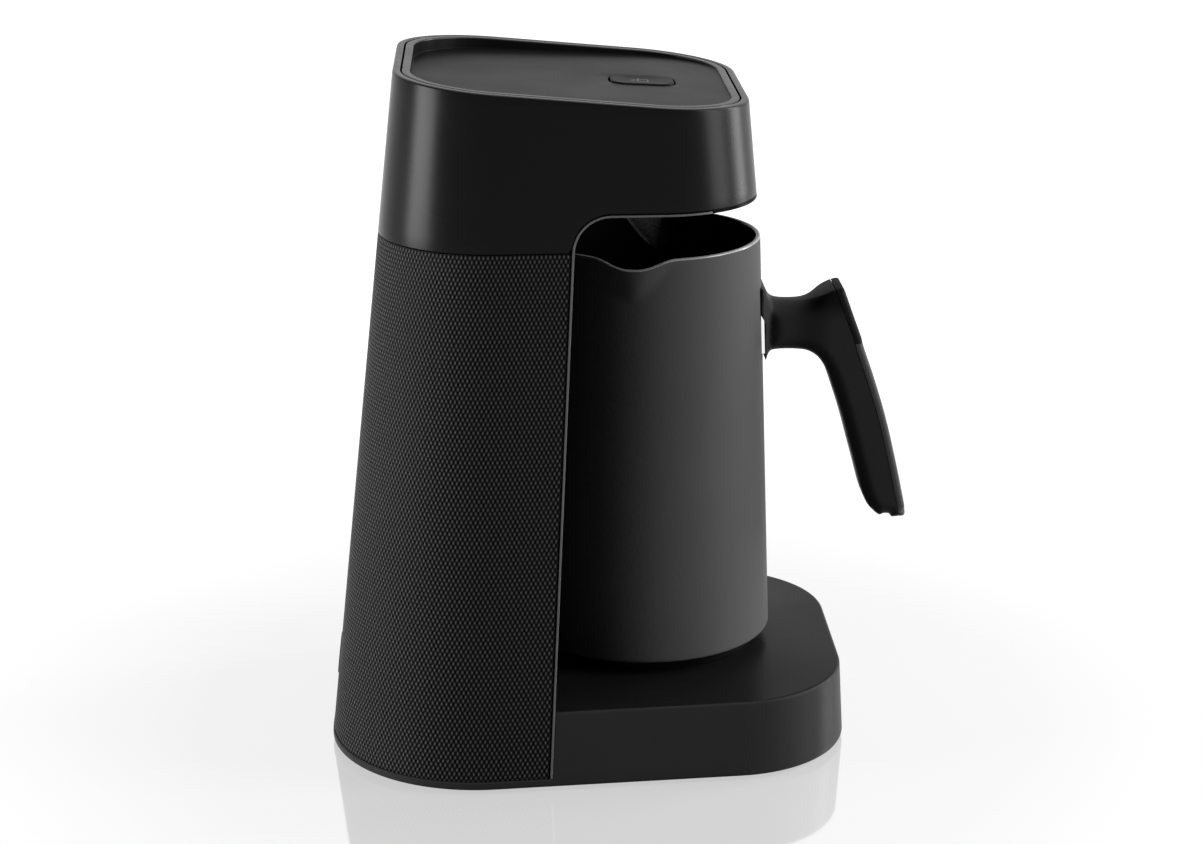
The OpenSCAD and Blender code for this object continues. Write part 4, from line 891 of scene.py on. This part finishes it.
def make_mark():
    verts, faces = [], []
    for line in (MARK_POT, MARK_HANDLE, MARK_WISP, [(x + 1.5, y) for x, y in MARK_WISP]):
        start, line = len(verts), np.array(line)
        for p, s in zip(line, left_of(np.gradient(line, axis=0)) * MARK_HALF):
            for q, lift in ((p + s, 0.0), (p - s, 0.0), (p - s, MARK_T), (p + s, MARK_T)):
                depth = BUTTON_DISH - 0.06 * (np.linalg.norm(q) / 8.0) ** 2 - lift + 0.02
                verts.append(crown_points((q + BUTTON_MIDDLE)[None], depth)[0])
        faces += grid_faces(len(line), 4, wrap_cols=True, start=start)
        faces += [tuple(range(start + 3, start - 1, -1)), tuple(range(len(verts) - 4, len(verts)))]
    make_piece("start_mark", verts, faces, [mark_mat], "button", "button_icon",
               merge=0)


make_mark()

SPRING_R, SPRING_WIRE, SPRING_LOW, SPRING_HIGH = 4.1, 0.25, -8.6, -5.8
SPRING_TURNS, SPRING_STEPS, SPRING_SIDES, SPRING_KEEP = 3, 28, 10, 0.755


def make_spring():
    """The key's return spring of round wire."""
    around = np.linspace(0, 2 * pi, SPRING_SIDES, endpoint=False)
    reach, rise = SPRING_R + SPRING_WIRE * np.cos(around), SPRING_WIRE * np.sin(around)
    rings, rows = SPRING_TURNS * SPRING_STEPS + 1, []
    for i in range(rings):
        turn = 2 * pi * i / SPRING_STEPS
        level = SPRING_LOW + (SPRING_HIGH - SPRING_LOW) * i / (rings - 1)
        place = np.column_stack((reach * cos(turn), BUTTON_Y + reach * sin(turn)))
        rows.append(top_points(place, level + rise))
    faces = grid_faces(rings, SPRING_SIDES, wrap_cols=True)
    last = (rings - 1) * SPRING_SIDES
    faces += [tuple(reversed(range(SPRING_SIDES))), tuple(range(last, last + SPRING_SIDES))]
    piece = make_piece("key_spring", np.vstack(rows), faces, [steel], "machine",
                       "button_spring", merge=0, sharp=50)
    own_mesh(piece)


make_spring()


# ---- Pot: cone with a rolled rim and a pair of pressed spouts ----

POT_FOOT_R, POT_RIM_R, POT_WALL, LIP_EDGE = 45.2, 40.0, 1.6, 0.5
SKIRT_EDGE, SKIRT_EDGE_W = 0.8, 0.67
FLOOR_Z, FLOOR_T, FLOOR_ROUND = 56.0, 1.5, 5.0
SPOUT_PUSH, SPOUT_TURN, SPOUT_DEEP, SPOUT_DIP, SPOUT_TIP = 2.2, 9.4, 15.5, 3.1, 0.06
# Across a spout: degrees from its middle, the share of its push, and the share of the rim's dip
SPOUT_DEGREES = (0, 4, 20.3, 90)
SPOUT_SHARES = (1, 1, 0, 0)
DIP_DEGREES = (0, 3.6, 5.8, 8.5, 10.9, 14.1, 16.7, 19.8, 23, 90)
DIP_SHARES = (1, 0.985, 0.9, 0.76, 0.56, 0.29, 0.12, 0.025, 0, 0)
OUTER_SOFT, INNER_SOFT = 2.4, 0.4
CREASE_H, CREASE_HALF, WALL_MOST = 0.28, 0.7, 1.9
POT_COLS = 540
POT_TURNS = np.linspace(0, 2 * pi, POT_COLS, endpoint=False)
# The plug's window in the skirt
PLUG_LOW, PLUG_HIGH = (-11.7, 35.0, 40.8), (11.7, 60.0, 49.2)


def cone_r(z):
    low = SKIRT_Z + SKIRT_EDGE
    return POT_FOOT_R + (POT_RIM_R - POT_FOOT_R) * (z - low) / (RIM_Z - low)


def from_spout():
    """Each direction's angle from the nearer spout, in degrees."""
    turn = np.degrees(POT_TURNS) - (180 - SPOUT_TURN)
    return (turn + 90) % 180 - 90


def spout_shape(degrees_at, shares, width, soft):
    """An outline across the spouts, drawn together to a width and rounded over some degrees."""
    degrees = np.arange(-90, 90, 0.25)
    shape = np.interp(np.abs(degrees) / width, degrees_at, shares)
    window = np.exp(-0.5 * (np.arange(-60, 61) * 0.25 / soft) ** 2)
    shape = np.concatenate((shape[-60:], shape, shape[:60]))
    shape = np.convolve(shape, window / window.sum(), "valid")
    return np.interp(from_spout(), degrees, shape)


def spout_share(z):
    """The spouts' depth at a level: 0 below them, 1 at the rim."""
    return min(max((z - RIM_Z + SPOUT_DEEP) / SPOUT_DEEP, 0.0), 1.0)


def spout_width(z):
    return SPOUT_TIP + (1 - SPOUT_TIP) * spout_share(z)


def spout_push(z, soft):
    """How far the spouts push the wall out at a level, in each direction."""
    push = SPOUT_PUSH * spout_share(z)
    return push * spout_shape(SPOUT_DEGREES, SPOUT_SHARES, spout_width(z), soft)


def make_pot():
    rows = []
    dip = SPOUT_DIP * spout_shape(DIP_DEGREES, DIP_SHARES, 1.0, 1.0)

    def row(reach, z):
        rows.append(ring(POT_TURNS, reach, z))

    def outer(z, inset=0.0):
        row(cone_r(z) + spout_push(z, OUTER_SOFT) - inset, z - dip * spout_share(z))

    def inner(z):
        """A row of the inside, with a crisp fold where a spout meets the round wall."""
        reach = cone_r(z) + spout_push(z, INNER_SOFT)
        slope = np.gradient(reach - cone_r(z), POT_TURNS) / reach
        off = np.abs(from_spout()) - SPOUT_DEGREES[2] * spout_width(z)
        crease = CREASE_H * min(spout_share(z) * 4, 1.0) * np.exp(-0.5 * (off / CREASE_HALF) ** 2)
        wall_t = POT_WALL * np.minimum(np.sqrt(1 + slope ** 2), WALL_MOST)
        row(reach - wall_t - crease, z - dip * spout_share(z))
    floor_low, deep = FLOOR_Z - FLOOR_T, RIM_Z - SPOUT_DEEP - 3
    for r in (4.0, 20.0, 34.0, cone_r(floor_low) - POT_WALL):
        row(r, floor_low)
    row(POT_FOOT_R - POT_WALL, SKIRT_Z + 0.4)
    row(POT_FOOT_R - POT_WALL + 0.3, SKIRT_Z)
    for share, rise in fillet(1.0, 5):
        row(POT_FOOT_R - SKIRT_EDGE_W * share, SKIRT_Z + SKIRT_EDGE * rise)
    for z in np.linspace(SKIRT_Z + SKIRT_EDGE + 1, deep - 1, 10):
        outer(z)
    for z in np.linspace(deep, RIM_Z - LIP_EDGE, 26):
        outer(z)
    lip_start = len(rows) - 1
    for inset, depth in top_fillet(LIP_EDGE, 5)[1:]:
        outer(RIM_Z - depth, inset)
    lip_stop = len(rows)
    for share in (0.3, 0.7):
        outer(RIM_Z, LIP_EDGE + (POT_WALL - 2 * LIP_EDGE) * share)
    for inset, depth in reversed(top_fillet(LIP_EDGE, 4)[1:]):
        outer(RIM_Z - depth, POT_WALL - inset)
    for z in np.linspace(RIM_Z - LIP_EDGE - 0.5, deep, 25):
        inner(z)
    for z in np.linspace(deep - 1, FLOOR_Z + FLOOR_ROUND + 1, 8):
        inner(z)
    for inset, rise in top_fillet(FLOOR_ROUND, 6):
        row(cone_r(FLOOR_Z) - POT_WALL - inset, FLOOR_Z + rise)
    for r in (30.0, 18.0, 4.0):
        row(r, FLOOR_Z)
    verts, faces = capped_tube(rows, (0, 0, floor_low), (0, 0, FLOOR_Z))
    # The rim's outer rounding gets the lip's light colour: a painted highlight
    places = []
    for i in range(len(faces)):
        at = i // POT_COLS
        places.append(2 if lip_start <= at < lip_stop else int(lip_stop <= at < len(rows)))
    piece = make_piece("pot_shell", verts, faces, [coating, inside_mat, lip_painted_highlight], "pot",
                       "pot_body", sharp=40, places=places)
    cut_away(piece, PLUG_LOW, PLUG_HIGH)


make_pot()


# ---- Handle: grip core, outer cover and thumb pad from one outline in the plane x = 0 ----

PAD_END_Z, COVER_SKIN, GRIP_SEAM = 139.4, 2.8, 0.12
# The outline, (y, z), from the neck's top over the thumb and down the outer side, and up the inner
NECK_TOP = [(-39.5, 160.2), (-41.5, 159.4), (-42.3, 157.4), (-43.5, 155.4), (-46.0, 154.2),
            (-50.0, 153.9), (-54.4, 154.0)]
THUMB_RISE = [(-57.0, 154.5), (-59.6, 155.6), (-62.6, 157.2), (-65.2, 158.5), (-67.3, 159.2),
              (-68.5, 159.3)]
OUTER_SIDE = [(-69.2, 158.8), (-70.8, 154.6), (-73.2, 148.0), (-75.6, 141.6), (-76.1, 139.6),
              (-77.4, 135.6), (-80.6, 126.6), (-85.3, 111.5), (-89.6, 94.4), (-92.7, 80.5)]
FOOT = [(-93.75, 75.6), (-93.7, 74.4), (-93.0, 73.7), (-91.0, 73.5), (-89.0, 73.4), (-88.5, 73.7),
        (-88.2, 74.4), (-87.2, 74.7), (-85.8, 74.7), (-85.0, 74.3), (-84.4, 74.2), (-83.0, 75.1),
        (-80.4, 77.8), (-78.6, 81.2)]
INNER = [(-77.0, 85.6), (-75.0, 93.0), (-73.0, 100.2), (-69.6, 112.4), (-66.3, 122.4),
         (-64.1, 128.4), (-62.0, 132.2), (-59.7, 134.5), (-56.8, 135.8), (-53.0, 136.1),
         (-47.6, 136.1), (-45.0, 135.8), (-43.6, 135.2), (-42.8, 134.3), (-42.4, 133.6)]
NECK_END = [(-41.9, 134.0), (-41.9, 138.0), (-41.9, 144.5), (-41.5, 147.4), (-40.5, 149.4),
            (-39.5, 151.0)]
# Half widths: at the neck, more on the grip and at the pot's wall, less at the foot
NECK_HALF, GRIP_MORE, COLLAR_MORE, FOOT_LESS = 7.5, 1.5, 3.1, 1.0
# The edges' rounding: at the neck, less on the grip and the tip, and on the outer face and the wall
NECK_EDGE, GRIP_EDGE_LESS, TIP_EDGE_LESS, OUTER_EDGE, WALL_EDGE = 6.2, 1.4, 3.0, 2.0, 0.8
CURVE_STEPS, SLAB_STEP, SLAB_LOOPS = 6, 0.9, (0.12, 0.4, 0.85, 1.4)


def smooth_line(points):
    """A smooth curve through the points."""
    points = np.array(points, float)
    p = np.vstack([2 * points[0] - points[1], points, 2 * points[-1] - points[-2]])
    out = []
    for i in range(1, len(p) - 2):
        for t in np.arange(CURVE_STEPS) / CURVE_STEPS:
            out.append(0.5 * (2 * p[i] + (p[i + 1] - p[i - 1]) * t
                              + (2 * p[i - 1] - 5 * p[i] + 4 * p[i + 1] - p[i + 2]) * t * t
                              + (3 * p[i] - p[i - 1] - 3 * p[i + 1] + p[i + 2]) * t ** 3))
    return np.array(out + [p[-2]])


def even_loop(points, step):
    closed = np.vstack([points, points[:1]])
    length = resample(closed, 2)[1]
    return resample(closed, max(8, round(length / step)) + 1)[0][:-1]


HANDLE_POINTS = NECK_TOP + THUMB_RISE + OUTER_SIDE + FOOT + INNER + NECK_END
HANDLE_LINE = even_loop(smooth_line(HANDLE_POINTS), 0.4)


def line_distance(points, line, closed=True):
    """Each point's distance to a polyline."""
    a = line if closed else line[:-1]
    b = np.roll(line, -1, axis=0) if closed else line[1:]
    best = np.full(len(points), 1e9)
    for p, q in zip(a, b):
        d = q - p
        t = np.clip(((points - p) @ d) / max(d @ d, 1e-12), 0, 1)
        best = np.minimum(best, np.linalg.norm(points - (p + t[:, None] * d), axis=1))
    return best


def inside(points, line):
    """Whether each point lies in a closed polyline."""
    hit = np.zeros(len(points), bool)
    for p, q in zip(line, np.roll(line, -1, axis=0)):
        crosses = (p[1] > points[:, 1]) != (q[1] > points[:, 1])
        with np.errstate(divide="ignore", invalid="ignore"):
            x = (q[0] - p[0]) * (points[:, 1] - p[1]) / (q[1] - p[1]) + p[0]
        hit ^= crosses & (points[:, 0] < x)
    return hit


def smoothstep(a, b, x):
    t = np.clip((x - a) / (b - a), 0.0, 1.0)
    return t * t * (3 - 2 * t)


def half_thickness(points):
    """Half the handle's width at points of the plane x = 0, with its edges rounded over."""
    y, z = points[:, 0], points[:, 1]
    width = NECK_HALF + GRIP_MORE * smoothstep(-52.0, -65.0, y)
    width += COLLAR_MORE * np.clip((y + 44.0) / 3.2, 0, 1) ** 2
    width -= FOOT_LESS * smoothstep(120.0, 76.0, z)
    edge = NECK_EDGE - GRIP_EDGE_LESS * smoothstep(-50.0, -64.0, y)
    edge -= TIP_EDGE_LESS * smoothstep(149.0, 157.5, z) * smoothstep(-57.0, -63.0, y)
    # The outer face is flatter than the inner side, so its edge is tighter
    outer = line_distance(points, np.array(OUTER_SIDE, float), closed=False)
    near_outer = smoothstep(5.0, 1.5, outer) * smoothstep(-64.0, -68.0, y)
    edge = edge * (1 - near_outer) + OUTER_EDGE * near_outer
    near_wall = smoothstep(-44.5, -41.5, y)
    edge = edge * (1 - near_wall) + WALL_EDGE * near_wall
    d = np.minimum(line_distance(points, HANDLE_LINE), edge)
    return width - edge + np.sqrt(np.maximum(edge ** 2 - (edge - d) ** 2, 0.0))


def slab_piece(name, line, material, node):
    """A closed piece from an outline in the plane x = 0, as thick as the handle is there."""
    count = len(line)
    area = 0.5 * np.sum(line[:, 0] * np.roll(line[:, 1], -1) - np.roll(line[:, 0], -1) * line[:, 1])
    inward = left_of(np.roll(line, -1, axis=0) - np.roll(line, 1, axis=0)) * (1 if area > 0 else -1)
    points = [line]
    for d in SLAB_LOOPS:
        loop = line + inward * d
        points.append(loop[inside(loop, line) & (line_distance(loop, line) > 0.9 * d)])
    (low_y, low_z), (high_y, high_z) = line.min(0), line.max(0)
    grid = np.array([(y, z) for j, z in enumerate(np.arange(low_z, high_z, SLAB_STEP))
                     for y in np.arange(low_y + (j % 2) * SLAB_STEP / 2, high_y, SLAB_STEP)])
    grid = grid[inside(grid, line)]
    points.append(grid[line_distance(grid, line) > SLAB_LOOPS[-1] + SLAB_STEP * 0.6])
    rim = [tuple(range(count))]
    done = delaunay_2d_cdt([Vector(p) for p in np.vstack(points)], [], rim, 1, 1e-6)
    flat = np.array([tuple(v) for v in done[0]])
    thick, n = half_thickness(flat), len(flat)
    verts = np.vstack([np.column_stack((thick, flat)), np.column_stack((-thick, flat))])
    faces = [tuple(f) for f in done[2]] + [tuple(n + i for i in reversed(f)) for f in done[2]]
    order = {k: i for i, ids in enumerate(done[3]) for k in ids}
    for k in range(count):
        a, b = order[k], order[(k + 1) % count]
        faces.append((a, b, n + b, n + a))
    make_piece(name, verts, faces, [material], "pot", node, merge=0, sharp=40)


def split_line(depth):
    """The seam down the grip's outer side, a depth inside its outer face, past both its ends."""
    outer = smooth_line([(-67.4, 163.6)] + OUTER_SIDE + [(-95.6, 68.0)])
    return outer + left_of(np.gradient(outer, axis=0)) * depth


def cut_line(line, value):
    """The part of a closed outline where its points' value is above zero, with exact crossings."""
    out = []
    for i in range(len(line)):
        j = (i + 1) % len(line)
        if value[i] > 0:
            out.append(line[i])
        if (value[i] > 0) != (value[j] > 0):
            out.append(line[i] + (line[j] - line[i]) * value[i] / (value[i] - value[j]))
    return even_loop(np.array(out), 0.5)


def seam_part(line, seam, sign):
    """The side of an outline that faces the pot for sign 1, or away for -1, closed along a seam."""
    away = line_distance(line, seam, closed=False)
    beside = line[:, 0] > np.interp(line[:, 1], seam[::-1, 1], seam[::-1, 0])
    value = np.where(beside, away, -away) * sign
    start = next(i for i in range(len(line)) if value[i] > 0 and value[i - 1] <= 0) - 1
    line, value = np.roll(line, -start, axis=0), np.roll(value, -start)
    line, value = np.vstack([line, line[:1]]), np.append(value, value[0])
    stop = next(i for i in range(1, len(value)) if value[i] <= 0)

    def cross(a):
        return line[a] + (line[a + 1] - line[a]) * value[a] / (value[a] - value[a + 1])
    first, last = cross(0), cross(stop - 1)
    low, high = sorted((first[1], last[1]))
    inner = seam[(seam[:, 1] < high - 0.3) & (seam[:, 1] > low + 0.3)]
    inner = inner if last[1] > first[1] else inner[::-1]
    return even_loop(np.vstack([first, line[1:stop], last, inner]), 0.5)


def make_handle():
    core = seam_part(HANDLE_LINE, split_line(COVER_SKIN + GRIP_SEAM), 1)
    skin = seam_part(HANDLE_LINE, split_line(COVER_SKIN - GRIP_SEAM), -1)
    cover = cut_line(skin, PAD_END_Z - GRIP_SEAM - skin[:, 1])
    pad = cut_line(skin, skin[:, 1] - PAD_END_Z - GRIP_SEAM)
    slab_piece("grip_core", core, grip_mat, "handle_core")
    slab_piece("grip_cover", cover, cover_mat, "handle_cover")
    slab_piece("grip_pad", pad, pad_mat, "thumb_pad")


make_handle()


# ---- Materials of the pieces that keep their own shape ----

FEET = ["rubber_foot_" + str(i) for i in range(1, 5)]
NODE_LOOKS = {
    rubber: [*FEET, "cord_gland"],
    inner_plastic: ["bottom_cover", "button_guide", "chassis", "switch_body", "power_socket",
                    "pot_connector", "relay", "buzzer", "foam_sensor", "controller_chip",
                    "board_header"],
    foot_mat: ["pot_base_cap"],
    grey_plastic: ["switch_plunger", "terminal_block", "filter_capacitor"],
    board_green: ["control_board", "power_board"],
    red_sleeve: ["socket_leads"],
    white_ceramic: ["thermal_fuse", "thermostat", "ribbon_cable"],
    smoked: ["status_led", "sensor_lens"],
    steel: ["bottom_screws", "board_screws", "cap_screws", "handle_screw", "heating_element",
            "transformer"],
    bright_steel: ["handle_bracket"],
    brass: ["socket_pins", "contact_sleeves"],
    aluminium: ["heating_plate"],
}
BEVELS = {0.4: [*FEET, "bottom_cover", "pot_base_cap", "pot_connector", "power_socket", "relay"],
          0.35: ["cord_gland"], 0.3: ["transformer", "chassis", "terminal_block"],
          0.2: ["handle_bracket"]}
BEVEL_FROM = radians(40)


def dress_nodes():
    dressed = set()
    for material, names in NODE_LOOKS.items():
        dressed.update(names)
        for name in names:
            nodes[name].data.materials.clear()
            nodes[name].data.materials.append(material)
    for width, names in BEVELS.items():
        for name in names:
            mod = nodes[name].modifiers.new("edge", "BEVEL")
            mod.width, mod.segments, mod.limit_method = width * MM, 2, "ANGLE"
            mod.angle_limit, mod.use_clamp_overlap, mod.harden_normals = BEVEL_FROM, True, True
    bare = [name for name, node in nodes.items() if name not in dressed and not node.hide_render]
    if bare:
        raise ValueError("nodes without a material: " + ", ".join(bare))


dress_nodes()


# ---- Floor, world, lights ----

WORLD_LEVEL, WORLD_GLOSS = 0.016, 0.8
FLOOR_HALF, FLOOR_BASE, FLOOR_MATT, FLOOR_SHINE, FLOOR_ROUGH = 20.0, 0.2, 0.6, 0.44, 0.06
# The floor's own glow under the object and away from it, and the distances between which it grows
FLOOR_GLOW, FLOOR_SPREAD = (0.545, 0.9), (0.15, 0.5)
# Each lamp's place, the point that it faces, its size in metres and its watts
LAMPS = {
    "key_box": ((-0.31, -1.16, 0.5), (0, 0, 0.12), (0.5, 1.1), 18),
    "front_strip": ((0.41, -1.13, 0.4), (0, 0, 0.12), (0.35, 0.9), 13),
    "rear_strip": ((-0.2, 1.13, 0.22), (0, 0, 0.14), (0.5, 0.44), 16),
    "top_box": ((0.3, 0.0, 1.3), (0, 0, 0.1), (1.2, 1.2), 6),
}


def white_rays(tree, level, rest=0.0):
    """One strength for the camera's, glossy and transmitted rays, and another for the rest."""
    path = add(tree, "LightPath")
    seen = calc("MAXIMUM", path["Is Camera Ray"], path["Is Glossy Ray"])
    return remap(calc("MAXIMUM", seen, path["Is Transmission Ray"]), rest, level)


def make_floor():
    """A pale polished floor: it keeps the object's shadow and a faint mirror image."""
    mesh = bpy.data.meshes.new("floor")
    corners = [(x * FLOOR_HALF, y * FLOOR_HALF, 0) for x, y in ((-1, -1), (1, -1), (1, 1), (-1, 1))]
    mesh.from_pydata(corners, [], [(0, 1, 2, 3)])
    material, tree = new_material("floor_white")
    matt = principled(tree, colour=(*[FLOOR_BASE] * 3, 1), rough=FLOOR_MATT, specular=0.0)
    polish = add(tree, "BsdfAnisotropic", Roughness=FLOOR_ROUGH)[0]
    mixed = add(tree, "MixShader", white_rays(tree, FLOOR_SHINE), matt, polish)[0]
    away = add(tree, "VectorMath", coordinates(tree), operation="LENGTH")["Value"]
    level = calc("MULTIPLY", white_rays(tree, 1.0), remap(away, *FLOOR_GLOW, *FLOOR_SPREAD))
    glow = add(tree, "Emission", Strength=level)[0]
    add(tree, "OutputMaterial", add(tree, "AddShader", mixed, glow)[0])
    mesh.materials.append(material)
    new_object("floor", mesh)


def make_world():
    scene.world = bpy.data.worlds.new("world")
    scene.world.use_nodes = True
    tree = scene.world.node_tree
    tree.nodes.clear()
    seen = add(tree, "LightPath")["Is Camera Ray"]
    level = calc("MAXIMUM", white_rays(tree, WORLD_GLOSS, WORLD_LEVEL), seen)
    add(tree, "OutputWorld", add(tree, "Background", (1, 1, 1, 1), level)[0])


def area_light(name, at, towards, size, watts):
    data = bpy.data.lights.new(name, "AREA")
    data.shape, data.energy = "RECTANGLE", watts
    data.size, data.size_y = size
    lamp = new_object(name, data)
    lamp.location = at
    lamp.rotation_euler = (Vector(towards) - Vector(at)).to_track_quat("-Z", "Y").to_euler()


make_floor()
make_world()
for lamp_name, lamp_facts in LAMPS.items():
    area_light(lamp_name, *lamp_facts)

scene.view_settings.view_transform = "Standard"

bpy.context.view_layer.update()
